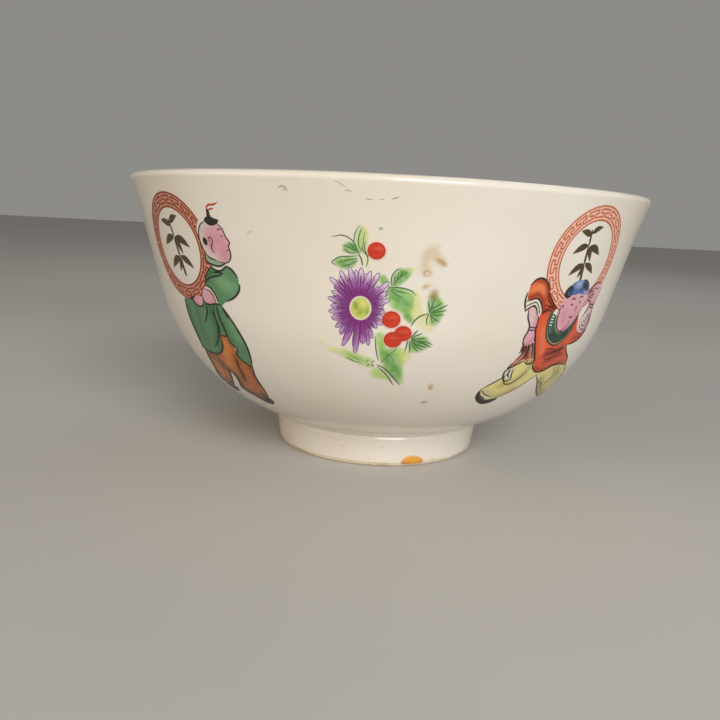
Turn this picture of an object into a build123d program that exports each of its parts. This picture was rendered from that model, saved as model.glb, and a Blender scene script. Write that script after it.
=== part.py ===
"""A footed porcelain tea bowl, the bowl of a gaiwan, decorated in enamels fired over its glaze.

The frame has its origin at the centre of the foot ring's resting plane, with +Z up and the front facing -Y.
All sizes are in millimetres. The bowl is one fired piece, and its nodes are the layers it is built up from:
the clay body, the glaze that is melted over it, and the separate patches of enamel that lie on the glaze.
"""

from build123d import *

import os
from math import asin, cos, degrees, radians, sin

# Foot ring, from the table up
FOOT_BOTTOM_RADIUS = 22.4
FOOT_TOP_RADIUS = 23.3
FOOT_INNER_RADIUS = 19.8
FOOT_HEIGHT = 6.1
FOOT_EDGE_ROUND = 0.7
WELL_DEPTH = 5.2
WELL_CORNER_ROUND = 1.2

# Turned groove between the foot ring and the belly
GROOVE_DEPTH = 0.22
GROOVE_TOP = 7.0

# Wall: a belly arc, a straight run and a slightly flared lip
BELLY_START = (23.7, 7.5)
BELLY_RADIUS = 38.0
BELLY_START_ANGLE = 17.8
BELLY_END_ANGLE = 75.0
STRAIGHT_RUN = 13.1
FLARE_RADIUS = 131.0
FLARE_ANGLE = 4.6
WALL_THICKNESS = 2.1
LIP_ROUND = 0.85

# Layers
GLAZE_THICKNESS = 0.25
BARE_FOOT_EDGE = 0.8
ENAMEL_THICKNESS = 0.12

# Decoration: each motif is drawn flat, in a plane that faces the wall squarely
MOTIF_HEIGHT = 34.0
MOTIF_RADIUS = 48.6
MOTIF_TILT = 17.0
MOTIF_OUTWARD = 6.0
MOTIF_DEPTH = 34.0
FILM_SEAM_AZIMUTH = 22.5
BOYS = {"front_left": -45, "front_right": 45, "back_right": 135, "back_left": 225}
SPRAYS = {"front": 0, "right": 90, "back": 180, "left": 270}

# Medallions, each held by a boy, and the sprig in each: foot of leaf, length, width and direction
BORDER_OUTER_RADIUS = 9.9
BORDER_INNER_RADIUS = 7.1
BEARER_MEDALLION = (-1.5, 10.1)
BEARER_EMBLEM = (-1.7, 9.9)
RUNNER_MEDALLION = (-1.8, 11.55)
RUNNER_EMBLEM = (-2.8, 12.3)
RUNNER_EMBLEM_SCALE = 0.9
SPRIG_CANE = ((1.1, -5.2), 10.6, 0.8, 101)
SPRIG_LEAVES = (
    ((-0.7, 4.4), 3.6, 1.25, 24),
    ((-0.6, 3.9), 3.6, 1.25, 166),
    ((-0.1, 2.1), 4.6, 1.45, 204),
    ((0.0, 1.9), 4.9, 1.5, -20),
    ((0.0, 1.7), 3.4, 1.15, -56),
    ((0.5, -1.6), 4.6, 1.45, 212),
    ((0.5, -1.5), 4.4, 1.35, -28),
    ((0.5, -1.8), 2.8, 1.05, 248),
)

# Flower spray: one aster, four berries, and leaves given as foot, length, width and direction
ASTER_CENTRE = (-3.6, 1.7)
ASTER_REACH = (4.6, 7.2)
BERRY_RADIUS = 1.45
BERRIES = ((-1.3, 11.8), (1.65, 0.35), (3.7, -2.1), (2.1, -3.3))
SPRAY_LEAVES = (
    ((-3.4, 11.2), 4.8, 2.1, 94),
    ((-4.0, 11.4), 3.6, 2.2, 160),
    ((-3.8, 10.0), 4.6, 2.3, 188),
    ((0.6, 6.6), 5.0, 2.4, 44),
    ((0.4, 5.6), 6.2, 3.6, -14),
    ((1.0, 3.6), 5.4, 2.6, -32),
    ((7.4, 0.6), 5.0, 3.2, 72),
    ((4.8, -3.8), 4.6, 2.8, -6),
    ((0.2, -5.2), 7.6, 3.4, -64),
    ((-0.4, -8.6), 9.2, 1.8, 160),
    ((-0.8, -9.2), 4.6, 2.0, -42),
)

BELLY_CENTRE = (
    BELLY_START[0] - BELLY_RADIUS * sin(radians(BELLY_START_ANGLE)),
    BELLY_START[1] + BELLY_RADIUS * cos(radians(BELLY_START_ANGLE)),
)


def wall_curve(gap, start_angle, lip_drop=0.0):
    """The wall's curve, gap outside the glazed surface, from start_angle on the belly arc up to the lip."""
    turn, radius = radians(start_angle), BELLY_RADIUS + gap
    start = (BELLY_CENTRE[0] + radius * sin(turn), BELLY_CENTRE[1] - radius * cos(turn))
    belly = JernArc(start, (cos(turn), sin(turn)), radius, BELLY_END_ANGLE - start_angle)
    straight = Line(belly @ 1, belly @ 1 + (belly % 1) * (STRAIGHT_RUN - lip_drop))
    flare = JernArc(straight @ 1, straight % 1, FLARE_RADIUS - gap, -FLARE_ANGLE)
    return belly @ 0, flare @ 1


def half_section(inset):
    """The vessel's half section in X and Y, with every surface but the foot's lower edge moved in by inset."""
    step_radius = BELLY_START[0] - inset
    step_angle = degrees(asin((step_radius - BELLY_CENTRE[0]) / (BELLY_RADIUS - inset)))
    foot_inner, ceiling = FOOT_INNER_RADIUS + inset, WELL_DEPTH + inset
    with BuildSketch() as section:
        with BuildLine():
            step_top, outer_lip = wall_curve(-inset, step_angle, inset)
            floor_edge, inner_lip = wall_curve(inset - WALL_THICKNESS, 0, inset)
            Line(outer_lip, inner_lip)
            Polyline(
                floor_edge,
                (0, floor_edge.Y),
                (0, ceiling),
                (foot_inner, ceiling),
                (foot_inner, 0),
                (FOOT_BOTTOM_RADIUS - inset, 0),
                (FOOT_TOP_RADIUS - inset, FOOT_HEIGHT),
            )
            ThreePointArc(
                (FOOT_TOP_RADIUS - inset, FOOT_HEIGHT),
                (FOOT_TOP_RADIUS - inset - GROOVE_DEPTH, (FOOT_HEIGHT + GROOVE_TOP) / 2),
                (step_radius, GROOVE_TOP),
            )
            Line((step_radius, GROOVE_TOP), step_top)
        make_face()
        fillet(section.vertices().sort_by(Axis.Y)[-2:], LIP_ROUND - inset)
        fillet(section.vertices().group_by(Axis.Y)[0], FOOT_EDGE_ROUND)
        fillet(section.vertices().sort_by_distance((foot_inner, ceiling))[0], WELL_CORNER_ROUND)
    return section.sketch


def motif_plane(azimuth):
    """A plane that faces the wall at an azimuth, which is 0 at the front and 90 on the right."""
    turn, tilt = radians(azimuth), radians(MOTIF_TILT)
    out = Vector(sin(turn), -cos(turn), 0)
    normal = out * cos(tilt) - Vector(0, 0, sin(tilt))
    origin = out * MOTIF_RADIUS + Vector(0, 0, MOTIF_HEIGHT)
    return Plane(origin=origin, x_dir=(cos(turn), sin(turn), 0), z_dir=normal)


# Half sections: the whole vessel, the clay under its glaze, and the foot's lower edge, which is left bare
vessel_section = half_section(0)
with BuildSketch(Plane.XZ) as body_section:
    add(vessel_section)
    Rectangle(4 * FOOT_TOP_RADIUS, BARE_FOOT_EDGE, align=(Align.CENTER, Align.MIN), mode=Mode.INTERSECT)
    add(half_section(GLAZE_THICKNESS))
with BuildSketch(Plane.XZ) as glaze_section:
    add(vessel_section)
    add(body_section.sketch_local, mode=Mode.SUBTRACT)

with BuildPart() as porcelain_body:
    add(body_section.sketch)
    revolve(axis=Axis.Z)

well_glaze_face, glaze_coat_face = glaze_section.sketch.faces().sort_by(SortBy.AREA)
with BuildPart() as glaze_coat:
    add(glaze_coat_face)
    revolve(axis=Axis.Z)
with BuildPart() as foot_well_glaze:
    add(well_glaze_face)
    revolve(axis=Axis.Z)

# A film of enamel all over the outer wall, from which each patch is cut. Its seam lies between two motifs.
film_plane = Plane.XZ.rotated((0, 0, FILM_SEAM_AZIMUTH))
with BuildPart() as enamel_film:
    with BuildSketch(film_plane):
        with BuildLine():
            inner_low, inner_high = wall_curve(0, BELLY_START_ANGLE)
            outer_low, outer_high = wall_curve(ENAMEL_THICKNESS, BELLY_START_ANGLE)
            Line(inner_low, outer_low)
            Line(inner_high, outer_high)
        make_face()
    revolve(axis=Axis.Z)


# Motif outlines, drawn flat about the motif plane's origin. Each function returns its shapes, front one first.
def closed_curve(*points):
    """A face inside one smooth closed curve through the points."""
    with BuildSketch() as shape:
        with BuildLine():
            Spline(*points, periodic=True)
        make_face()
    return shape.sketch


def oval(centre, radius_x, radius_y, turn=0):
    with BuildSketch() as shape:
        with Locations(Location((*centre, 0), (0, 0, turn))):
            Ellipse(radius_x, radius_y)
    return shape.sketch


def leaf(root, length, width, direction):
    """A pointed leaf made of two equal arcs, from its root outward in a direction in degrees."""
    tip = (length, 0)
    with BuildSketch() as shape:
        with BuildLine():
            ThreePointArc((0, 0), (length / 2, width / 2), tip)
            ThreePointArc((0, 0), (length / 2, -width / 2), tip)
        make_face()
    return shape.sketch.moved(Location((*root, 0), (0, 0, direction)))


def ring(centre, outer_radius, inner_radius):
    with BuildSketch() as shape:
        with Locations(centre):
            Circle(outer_radius)
            Circle(inner_radius, mode=Mode.SUBTRACT)
    return shape.sketch


def gathered(*shapes):
    """Several outlines as one sketch."""
    with BuildSketch() as shape:
        for piece in shapes:
            add(piece)
    return shape.sketch


def bamboo_sprig(centre, scale=1.0):
    """The medallion's emblem: a short cane with eight leaves."""
    return gathered(
        *(
            leaf(
                (centre[0] + foot[0] * scale, centre[1] + foot[1] * scale),
                length * scale,
                width * scale,
                direction,
            )
            for foot, length, width, direction in (SPRIG_CANE, *SPRIG_LEAVES)
        )
    )


def bearer():
    """A boy walking to the right, with a medallion held behind him in both hands."""
    head = gathered(oval((9.8, 11.4), 3.3, 3.8), oval((10.4, 15.3), 1.7, 0.9))
    hands = gathered(oval((5.1, 1.3), 1.6, 1.3), oval((1.8, 0.3), 1.5, 0.9))
    coat = closed_curve(
        (7.4, 6.9), (10.8, 6.9), (13.4, 4.6), (12.7, 2.0), (9.6, 0.5), (10.3, -3.7), (11.1, -8.4),
        (9.9, -12.1), (7.9, -9.8), (5.6, -6.4), (2.8, -10.0), (-3.0, -10.5), (-3.4, -4.0), (-3.2, 0.3),
        (2.6, 0.4), (5.3, 3.8),
    )
    trousers = closed_curve(
        (-2.8, -9.0), (-3.9, -13.8), (-5.7, -18.0), (-4.4, -20.5), (-1.4, -19.8), (0.4, -17.2),
        (2.2, -15.0), (2.4, -17.2), (2.0, -20.0), (4.4, -21.6), (7.6, -21.0), (8.8, -17.0), (9.4, -12.0),
        (5.6, -7.0),
    )
    shoes = gathered(oval((-3.4, -21.0), 2.2, 0.8, 2), oval((5.7, -22.1), 2.3, 0.9, -4))
    border = ring(BEARER_MEDALLION, BORDER_OUTER_RADIUS, BORDER_INNER_RADIUS)
    return {
        "emblem": bamboo_sprig(BEARER_EMBLEM),
        "head": head,
        "hands": hands,
        "medallion_border": border,
        "coat": coat,
        "trousers": trousers,
        "shoes": shoes,
    }


def runner():
    """A boy running, who looks over his shoulder and holds a medallion up behind his head."""
    head = gathered(oval((-1.5, 2.7), 3.4, 4.2), oval((-1.1, 6.2), 3.1, 1.7))
    lowered_arm = oval((-10.7, -0.9), 1.1, 4.0, 10)
    hands = gathered(lowered_arm, oval((5.2, 0.2), 2.1, 3.4, -8), oval((4.8, 5.2), 2.5, 1.8, 20))
    collar = oval((-2.6, -0.6), 4.4, 3.8)
    tunic = closed_curve(
        (-8.8, 5.2), (-11.9, 7.7), (-13.8, 5.0), (-11.8, 4.2), (-9.6, 1.2), (-8.6, -3.2), (-6.4, -7.4),
        (-4.2, -10.2), (1.0, -9.9), (6.6, -10.1), (3.6, -7.0), (1.8, -4.6), (6.2, -4.2), (7.1, -2.0),
        (3.2, 0.2), (-2.0, 2.6), (-6.4, 2.4),
    )
    trousers = closed_curve(
        (-9.4, -8.0), (-11.2, -11.4), (-13.8, -14.6), (-12.6, -17.0), (-8.6, -17.2), (-4.6, -14.0),
        (-1.8, -11.8), (3.2, -16.2), (9.2, -19.8), (12.2, -19.0), (11.4, -15.8), (8.4, -12.6), (6.4, -9.6),
        (-1.0, -8.8),
    )
    shoes = gathered(oval((-11.6, -17.4), 2.9, 1.0, -26), oval((12.9, -20.3), 1.0, 1.8, -38))
    border = ring(RUNNER_MEDALLION, BORDER_OUTER_RADIUS, BORDER_INNER_RADIUS)
    return {
        "emblem": bamboo_sprig(RUNNER_EMBLEM, RUNNER_EMBLEM_SCALE),
        "head": head,
        "hands": hands,
        "collar": collar,
        "tunic": tunic,
        "medallion_border": border,
        "trousers": trousers,
        "shoes": shoes,
    }


def spray():
    """A spray of one aster, four berries, and leaves."""
    berries = gathered(*(oval(centre, BERRY_RADIUS, BERRY_RADIUS) for centre in BERRIES))
    leaves = gathered(*(leaf(*measures) for measures in SPRAY_LEAVES))
    return {"berries": berries, "blossom": oval(ASTER_CENTRE, *ASTER_REACH), "leaves": leaves}


def patches(shapes, azimuth):
    """Solids of enamel on the wall for a motif's shapes, each cut short where a shape in front of it lies."""
    plane = motif_plane(azimuth)
    solids, in_front = {}, []
    for name, shape in shapes.items():
        with BuildPart() as patch:
            with BuildSketch(plane.offset(MOTIF_OUTWARD)):
                add(shape)
                for nearer in in_front:
                    add(nearer, mode=Mode.SUBTRACT)
            extrude(amount=-MOTIF_OUTWARD - MOTIF_DEPTH)
            add(enamel_film.part, mode=Mode.INTERSECT)
        solids[name] = patch.part
        in_front.append(shape)
    return solids


nodes = {
    "porcelain_body": porcelain_body.part,
    "glaze_coat": glaze_coat.part,
    "foot_well_glaze": foot_well_glaze.part,
}
for number, (place, azimuth) in enumerate(BOYS.items()):
    motif = bearer() if number % 2 == 0 else runner()
    for name, solid in patches(motif, azimuth).items():
        nodes[f"{place}_{name}"] = solid
for place, azimuth in SPRAYS.items():
    for name, solid in patches(spray(), azimuth).items():
        nodes[f"{place}_spray_{name}"] = solid

os.makedirs("parts", exist_ok=True)
for name, part in nodes.items():
    part.label = name
    export_step(part, f"parts/{name}.step")
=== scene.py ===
from collections import namedtuple
from math import ceil, cos, hypot, radians, sin, tan

import bmesh
import bpy
import numpy as np
from mathutils import Matrix, Vector, noise
from mathutils.geometry import delaunay_2d_cdt


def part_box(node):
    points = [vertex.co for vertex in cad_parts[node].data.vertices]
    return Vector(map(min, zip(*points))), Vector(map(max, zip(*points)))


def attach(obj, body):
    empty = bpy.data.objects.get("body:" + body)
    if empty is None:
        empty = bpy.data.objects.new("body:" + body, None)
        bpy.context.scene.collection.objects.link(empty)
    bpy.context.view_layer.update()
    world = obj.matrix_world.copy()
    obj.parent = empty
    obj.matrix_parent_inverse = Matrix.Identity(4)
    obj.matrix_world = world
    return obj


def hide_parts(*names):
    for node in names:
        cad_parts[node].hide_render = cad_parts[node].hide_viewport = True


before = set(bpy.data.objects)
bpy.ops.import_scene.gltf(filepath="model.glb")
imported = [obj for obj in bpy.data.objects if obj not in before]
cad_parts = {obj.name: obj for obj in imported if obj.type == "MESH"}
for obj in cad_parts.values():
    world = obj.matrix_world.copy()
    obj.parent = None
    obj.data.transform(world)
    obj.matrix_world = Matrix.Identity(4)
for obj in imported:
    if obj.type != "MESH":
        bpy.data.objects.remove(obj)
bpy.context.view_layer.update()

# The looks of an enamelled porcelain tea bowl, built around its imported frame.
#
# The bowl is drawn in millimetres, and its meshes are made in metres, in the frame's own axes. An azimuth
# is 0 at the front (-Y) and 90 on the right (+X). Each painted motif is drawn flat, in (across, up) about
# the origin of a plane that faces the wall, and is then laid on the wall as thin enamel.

METRES = 0.001

# Foot ring and groove, from the table up
FOOT_BOTTOM_RADIUS = 22.4
FOOT_TOP_RADIUS = 23.3
FOOT_INNER_RADIUS = 19.8
FOOT_HEIGHT = 6.1
FOOT_EDGE_ROUND = 0.7
WELL_DEPTH = 5.2
WELL_CORNER_ROUND = 1.2
BARE_FOOT_EDGE = 0.8
GROOVE_DEPTH = 0.22
GROOVE_TOP = 7.0

# Wall: a belly arc, a straight run and a flared lip
BELLY_START = (23.7, 7.5)
BELLY_RADIUS = 38.0
BELLY_START_ANGLE = 17.8
BELLY_END_ANGLE = 75.0
STRAIGHT_RUN = 13.1
FLARE_RADIUS = 131.0
FLARE_ANGLE = 4.6
WALL_THICKNESS = 2.1
LIP_ROUND = 0.85
GLAZE_THICKNESS = 0.25

# Motif planes
MOTIF_HEIGHT = 34.0
MOTIF_RADIUS = 48.6
MOTIF_TILT = 17.0
MOTIF_REACH = (8.0, -34.0)
HALVINGS = 40
SLOPE_STEP = 0.01
BOYS = {"front_left": -45, "front_right": 45, "back_right": 135, "back_left": 225}
SPRAYS = {"front": 0, "right": 90, "back": 180, "left": 270}

# How far the rim is out of round and out of level, as waves around it: (count, height, phase)
OUT_OF_ROUND = ((2, 0.13, 0.7), (3, 0.05, 2.1))
OUT_OF_LEVEL = ((2, 0.10, 2.4), (5, 0.04, 0.0))

# Enamel relief above the glaze
LAYER = 0.022
LINE_RELIEF = 0.010
FLAT_SHARE = 0.92
ENAMEL_SINK = -0.015
LINE_WEIGHT = 1.25

# Curves are drawn in steps of this length, and filled shapes on a lattice of equal triangles
CURVE_STEP = 0.28
ROW_PITCH = 0.866

# Sections are drawn with this many segments around the bowl's axis
SKIN_SEGMENTS, CLAY_SEGMENTS = 288, 192
CREASE_ANGLE = 40


# ---------------------------------------------------------------- the bowl's section

def polar(radius, angle):
    return np.array((radius * cos(radians(angle)), radius * sin(radians(angle))))


def arc(centre, radius, start, end, count):
    """Points on an arc between two angles in degrees."""
    turn = np.radians(np.linspace(start, end, count))
    return np.asarray(centre) + radius * np.column_stack((np.cos(turn), np.sin(turn)))


BELLY_CENTRE = np.array(BELLY_START) - polar(BELLY_RADIUS, BELLY_START_ANGLE - 90)
STRAIGHT_FOOT = BELLY_CENTRE + polar(BELLY_RADIUS, BELLY_END_ANGLE - 90)
STRAIGHT_TOP = STRAIGHT_FOOT + polar(STRAIGHT_RUN, BELLY_END_ANGLE)
FLARE_CENTRE = STRAIGHT_TOP - polar(FLARE_RADIUS, BELLY_END_ANGLE + 90)
LIP_ANGLE = BELLY_END_ANGLE - FLARE_ANGLE
RIM_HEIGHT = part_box("glaze_coat")[1][2] / METRES
RIM_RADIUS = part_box("glaze_coat")[1][0] / METRES


def wall(gap, start_angle, drop, belly_count=64, flare_count=24):
    """The wall's curve, gap outside the outer surface and drop short of the lip, from start_angle upward."""
    lowered = -polar(drop, BELLY_END_ANGLE)
    flare_end = LIP_ANGLE + 90 + np.degrees(LIP_ROUND / FLARE_RADIUS)
    return np.vstack((
        arc(BELLY_CENTRE, BELLY_RADIUS + gap, start_angle - 90, BELLY_END_ANGLE - 90, belly_count),
        arc(FLARE_CENTRE + lowered, FLARE_RADIUS - gap, BELLY_END_ANGLE + 90, flare_end, flare_count),
    ))


def lip(inset, count=12):
    """The rounded lip, from the outer wall over to the inner one, with every surface moved in by inset."""
    along, inward = polar(1, LIP_ANGLE), polar(1, LIP_ANGLE + 90)
    outer_corner = FLARE_CENTRE + polar(FLARE_RADIUS + inset, LIP_ANGLE + 90) - polar(inset, BELLY_END_ANGLE)
    inner_corner = outer_corner + inward * (WALL_THICKNESS - 2 * inset)
    radius = LIP_ROUND - inset
    return np.vstack((
        arc(outer_corner + (inward - along) * radius, radius, LIP_ANGLE - 90, LIP_ANGLE, count),
        arc(inner_corner - (inward + along) * radius, radius, LIP_ANGLE, LIP_ANGLE + 90, count),
    ))


def evened(points, spacing=0.09, reach=3):
    """The same line at an even spacing with its corners softened, as melted glaze leaves them."""
    steps = np.hypot(*np.diff(points, axis=0).T)
    travelled = np.concatenate(((0.0,), np.cumsum(steps)))
    stations = np.linspace(0, travelled[-1], ceil(travelled[-1] / spacing))
    line = np.column_stack([np.interp(stations, travelled, points[:, axis]) for axis in (0, 1)])
    padded = np.vstack((np.repeat(line[:1], reach, axis=0), line, np.repeat(line[-1:], reach, axis=0)))
    window = np.ones(2 * reach + 1) / (2 * reach + 1)
    return np.column_stack([np.convolve(padded[:, axis], window, "valid") for axis in (0, 1)])


def foot_outside(inset, start_height):
    """The foot ring's outer side with the groove above it, up to where the belly starts."""
    groove_middle = (FOOT_HEIGHT + GROOVE_TOP) / 2
    lean = (FOOT_TOP_RADIUS - FOOT_BOTTOM_RADIUS) / FOOT_HEIGHT
    corners = np.array((
        (FOOT_BOTTOM_RADIUS + lean * start_height, start_height),
        (FOOT_TOP_RADIUS, FOOT_HEIGHT),
        (FOOT_TOP_RADIUS - GROOVE_DEPTH, groove_middle - 0.15),
        (FOOT_TOP_RADIUS - GROOVE_DEPTH, groove_middle + 0.15),
        (BELLY_START[0], GROOVE_TOP),
        BELLY_START,
        BELLY_CENTRE + polar(BELLY_RADIUS, BELLY_START_ANGLE + 1.5 - 90),
    ))
    return evened(corners - (inset, 0))


def foot_inside(inset, end_height):
    """The well under the bowl, from the middle of its ceiling out and down the foot ring's inner side."""
    wall_radius_here, ceiling = FOOT_INNER_RADIUS + inset, WELL_DEPTH + inset
    corner = (wall_radius_here - WELL_CORNER_ROUND, ceiling - WELL_CORNER_ROUND)
    return np.vstack((
        np.column_stack((np.linspace(0, corner[0], 24, endpoint=False), np.full(24, ceiling))),
        arc(corner, WELL_CORNER_ROUND, 90, 0, 10),
        ((wall_radius_here, end_height),),
    ))


def inner_wall(inset):
    """The inside of the bowl, from the lip down to the middle of the floor."""
    down = wall(inset - WALL_THICKNESS, 0, inset)[::-1]
    floor_radii = np.linspace(down[-1][0], 0, 20)[1:]
    return np.vstack((down, np.column_stack((floor_radii, np.full(19, down[-1][1])))))


def outer_wall(inset):
    return wall(-inset, BELLY_START_ANGLE + 3, inset)


def glaze_section():
    """The glaze from the floor's middle, over the lip to the foot ring, and back where it meets the clay."""
    skin = np.vstack((foot_outside(0, BARE_FOOT_EDGE), outer_wall(0), lip(0), inner_wall(0)))
    contact = np.vstack((
        foot_outside(GLAZE_THICKNESS, BARE_FOOT_EDGE),
        outer_wall(GLAZE_THICKNESS),
        lip(GLAZE_THICKNESS),
        inner_wall(GLAZE_THICKNESS),
    ))
    return np.vstack((skin[::-1], contact[::3], contact[-1:]))


def well_section():
    skin = foot_inside(0, BARE_FOOT_EDGE)
    contact = foot_inside(GLAZE_THICKNESS, BARE_FOOT_EDGE)
    return np.vstack((skin, contact[::-1]))


def body_section():
    """The clay under its glaze, with the foot ring's lower edge standing flush with the glaze."""
    inner_round = (FOOT_INNER_RADIUS + FOOT_EDGE_ROUND, FOOT_EDGE_ROUND)
    outer_round = (FOOT_BOTTOM_RADIUS - FOOT_EDGE_ROUND, FOOT_EDGE_ROUND)
    return np.vstack((
        foot_inside(GLAZE_THICKNESS, BARE_FOOT_EDGE),
        arc(inner_round, FOOT_EDGE_ROUND, 180, 270, 8),
        arc(outer_round, FOOT_EDGE_ROUND, 270, 360, 8),
        ((FOOT_BOTTOM_RADIUS + 0.1, BARE_FOOT_EDGE),),
        foot_outside(GLAZE_THICKNESS, BARE_FOOT_EDGE)[::3],
        outer_wall(GLAZE_THICKNESS),
        lip(GLAZE_THICKNESS),
        inner_wall(GLAZE_THICKNESS),
    ))


def lathe(section, segments):
    """Points and faces of a section that starts and ends on the bowl's axis, turned about it."""
    rings = section[1:-1]
    turns = np.linspace(0, 2 * np.pi, segments, endpoint=False)
    points = np.empty((len(rings), segments, 3))
    points[..., 0] = rings[:, :1] * np.cos(turns)
    points[..., 1] = rings[:, :1] * np.sin(turns)
    points[..., 2] = rings[:, 1:]
    poles = np.array(((0, 0, section[0][1]), (0, 0, section[-1][1])))
    first_pole = len(rings) * segments
    faces = []
    for ring in range(len(rings) - 1):
        low, high = ring * segments, (ring + 1) * segments
        for turn in range(segments):
            following = (turn + 1) % segments
            faces.append((low + turn, low + following, high + following, high + turn))
    last = (len(rings) - 1) * segments
    for turn in range(segments):
        following = (turn + 1) % segments
        faces.append((first_pole, following, turn))
        faces.append((first_pole + 1, last + turn, last + following))
    return np.vstack((points.reshape(-1, 3), poles)), faces


# ---------------------------------------------------------------- laying drawings on the wall

def wall_radius(height):
    """Radius of the glazed outer wall at each height."""
    reach = np.clip(BELLY_RADIUS**2 - (BELLY_CENTRE[1] - height) ** 2, 0, None)
    belly = BELLY_CENTRE[0] + np.sqrt(reach)
    straight = STRAIGHT_FOOT[0] + (height - STRAIGHT_FOOT[1]) / tan(radians(BELLY_END_ANGLE))
    flare = FLARE_CENTRE[0] - np.sqrt(FLARE_RADIUS**2 - (height - FLARE_CENTRE[1]) ** 2)
    return np.where(height < STRAIGHT_FOOT[1], belly, np.where(height < STRAIGHT_TOP[1], straight, flare))


def lay(flat, lift, azimuth):
    """Points on the wall, lifted off it, for points drawn flat in the motif plane at an azimuth."""
    turn, tilt = radians(azimuth), radians(MOTIF_TILT)
    out = np.array((sin(turn), -cos(turn), 0.0))
    across = np.array((cos(turn), sin(turn), 0.0))
    upright = np.array((0.0, 0.0, 1.0))
    up = out * sin(tilt) + upright * cos(tilt)
    normal = out * cos(tilt) - upright * sin(tilt)
    start = out * MOTIF_RADIUS + upright * MOTIF_HEIGHT + flat[:, :1] * across + flat[:, 1:] * up
    outer, inner = (np.full(len(flat), reach) for reach in MOTIF_REACH)
    for _ in range(HALVINGS):
        middle = (outer + inner) / 2
        point = start + middle[:, None] * normal
        outside = np.hypot(point[:, 0], point[:, 1]) > wall_radius(point[:, 2])
        outer, inner = np.where(outside, middle, outer), np.where(outside, inner, middle)
    radius = np.hypot(point[:, 0], point[:, 1])
    slope = wall_radius(point[:, 2] + SLOPE_STEP) - wall_radius(point[:, 2] - SLOPE_STEP)
    facing = np.column_stack((point[:, :2] / radius[:, None], -slope / (2 * SLOPE_STEP)))
    facing /= np.linalg.norm(facing, axis=1)[:, None]
    return point + facing * lift[:, None]


def lay_on_foot(flat, lift, azimuth):
    """Points on the foot ring's outer side, for points drawn (around, up from the table) at an azimuth."""
    height = flat[:, 1]
    leaning = FOOT_BOTTOM_RADIUS + (FOOT_TOP_RADIUS - FOOT_BOTTOM_RADIUS) / FOOT_HEIGHT * height
    drop = np.clip(FOOT_EDGE_ROUND - height, 0, FOOT_EDGE_ROUND)
    rounded = FOOT_BOTTOM_RADIUS - FOOT_EDGE_ROUND + np.sqrt(FOOT_EDGE_ROUND**2 - drop**2)
    radius = np.where(height < FOOT_EDGE_ROUND, rounded, leaning) + lift
    turn = radians(azimuth) + flat[:, 0] / FOOT_BOTTOM_RADIUS
    return np.column_stack((radius * np.sin(turn), -radius * np.cos(turn), height))


def waves(azimuth, table):
    return sum(height * np.cos(count * azimuth + phase) for count, height, phase in table)


def settled(points):
    """The bowl's slight unevenness from the wheel and the kiln, which grows towards the rim."""
    azimuth = np.arctan2(points[:, 0], -points[:, 1])
    rise = (points[:, 2] / RIM_HEIGHT) ** 2 * np.hypot(points[:, 0], points[:, 1]) / RIM_RADIUS
    moved = points.copy()
    moved[:, :2] *= 1 + (rise * waves(azimuth, OUT_OF_ROUND) / RIM_RADIUS)[:, None]
    moved[:, 2] += rise * waves(azimuth, OUT_OF_LEVEL)
    return moved


def curve(*points, closed=False):
    """A smooth curve through the points, as a centripetal Catmull-Rom spline."""
    knots = np.array(points, float)
    if closed:
        padded = np.vstack((knots[-1:], knots, knots[:2]))
    else:
        padded = np.vstack((2 * knots[:1] - knots[1:2], knots, 2 * knots[-1:] - knots[-2:-1]))
    stretches = []
    for before, start, end, after in zip(padded, padded[1:], padded[2:], padded[3:]):
        t0 = 0.0
        t1 = t0 + hypot(*(start - before)) ** 0.5
        t2 = t1 + hypot(*(end - start)) ** 0.5
        t3 = t2 + hypot(*(after - end)) ** 0.5
        count = max(2, ceil(hypot(*(end - start)) / CURVE_STEP))
        t = np.linspace(t1, t2, count, endpoint=False)[:, None]
        a1 = ((t1 - t) * before + (t - t0) * start) / (t1 - t0)
        a2 = ((t2 - t) * start + (t - t1) * end) / (t2 - t1)
        a3 = ((t3 - t) * end + (t - t2) * after) / (t3 - t2)
        b1 = ((t2 - t) * a1 + (t - t0) * a2) / (t2 - t0)
        b2 = ((t3 - t) * a2 + (t - t1) * a3) / (t3 - t1)
        stretches.append(((t2 - t) * b1 + (t - t1) * b2) / (t2 - t1))
    drawn = np.vstack(stretches)
    return drawn if closed else np.vstack((drawn, knots[-1:]))


def outline(*runs):
    """A closed outline. One run closes smoothly on itself, and several meet at corners."""
    if len(runs) == 1:
        return curve(*runs[0], closed=True)
    return np.vstack([curve(*run, following[0])[:-1] for run, following in zip(runs, runs[1:] + runs[:1])])


def oval(centre, radius_x, radius_y, turn=0):
    count = max(12, ceil(max(radius_x, radius_y) * 22))
    ring = arc((0, 0), 1, 0, 360, count + 1)[:-1] * (radius_x, radius_y)
    turned = radians(turn)
    return ring @ np.array(((cos(turned), sin(turned)), (-sin(turned), cos(turned)))) + np.asarray(centre)


def sides(root, along, length, half, direction, bend):
    """The left and right edges of a leaf or petal, half its width from a spine that bends sideways."""
    turned = radians(direction)
    ahead, aside = np.array((cos(turned), sin(turned))), np.array((-sin(turned), cos(turned)))
    bow = 4 * bend * along * (1 - along)
    spine = np.asarray(root) + np.outer(along * length, ahead) + np.outer(bow, aside)
    return spine + half[:, None] * aside, spine - half[:, None] * aside


def blade(root, length, width, direction, bend=0.0, belly=0.5):
    """A pointed leaf from its root, widest at belly of its length, with a sideways bend."""
    along = np.linspace(0, 1, max(8, ceil(length / 0.3)))
    swelling = np.where(along < belly, along / belly, (1 - along) / (1 - belly))
    left, right = sides(root, along, length, width / 2 * np.sin(swelling * np.pi / 2) ** 0.9, direction, bend)
    return np.vstack((right, left[-2:0:-1]))


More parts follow.
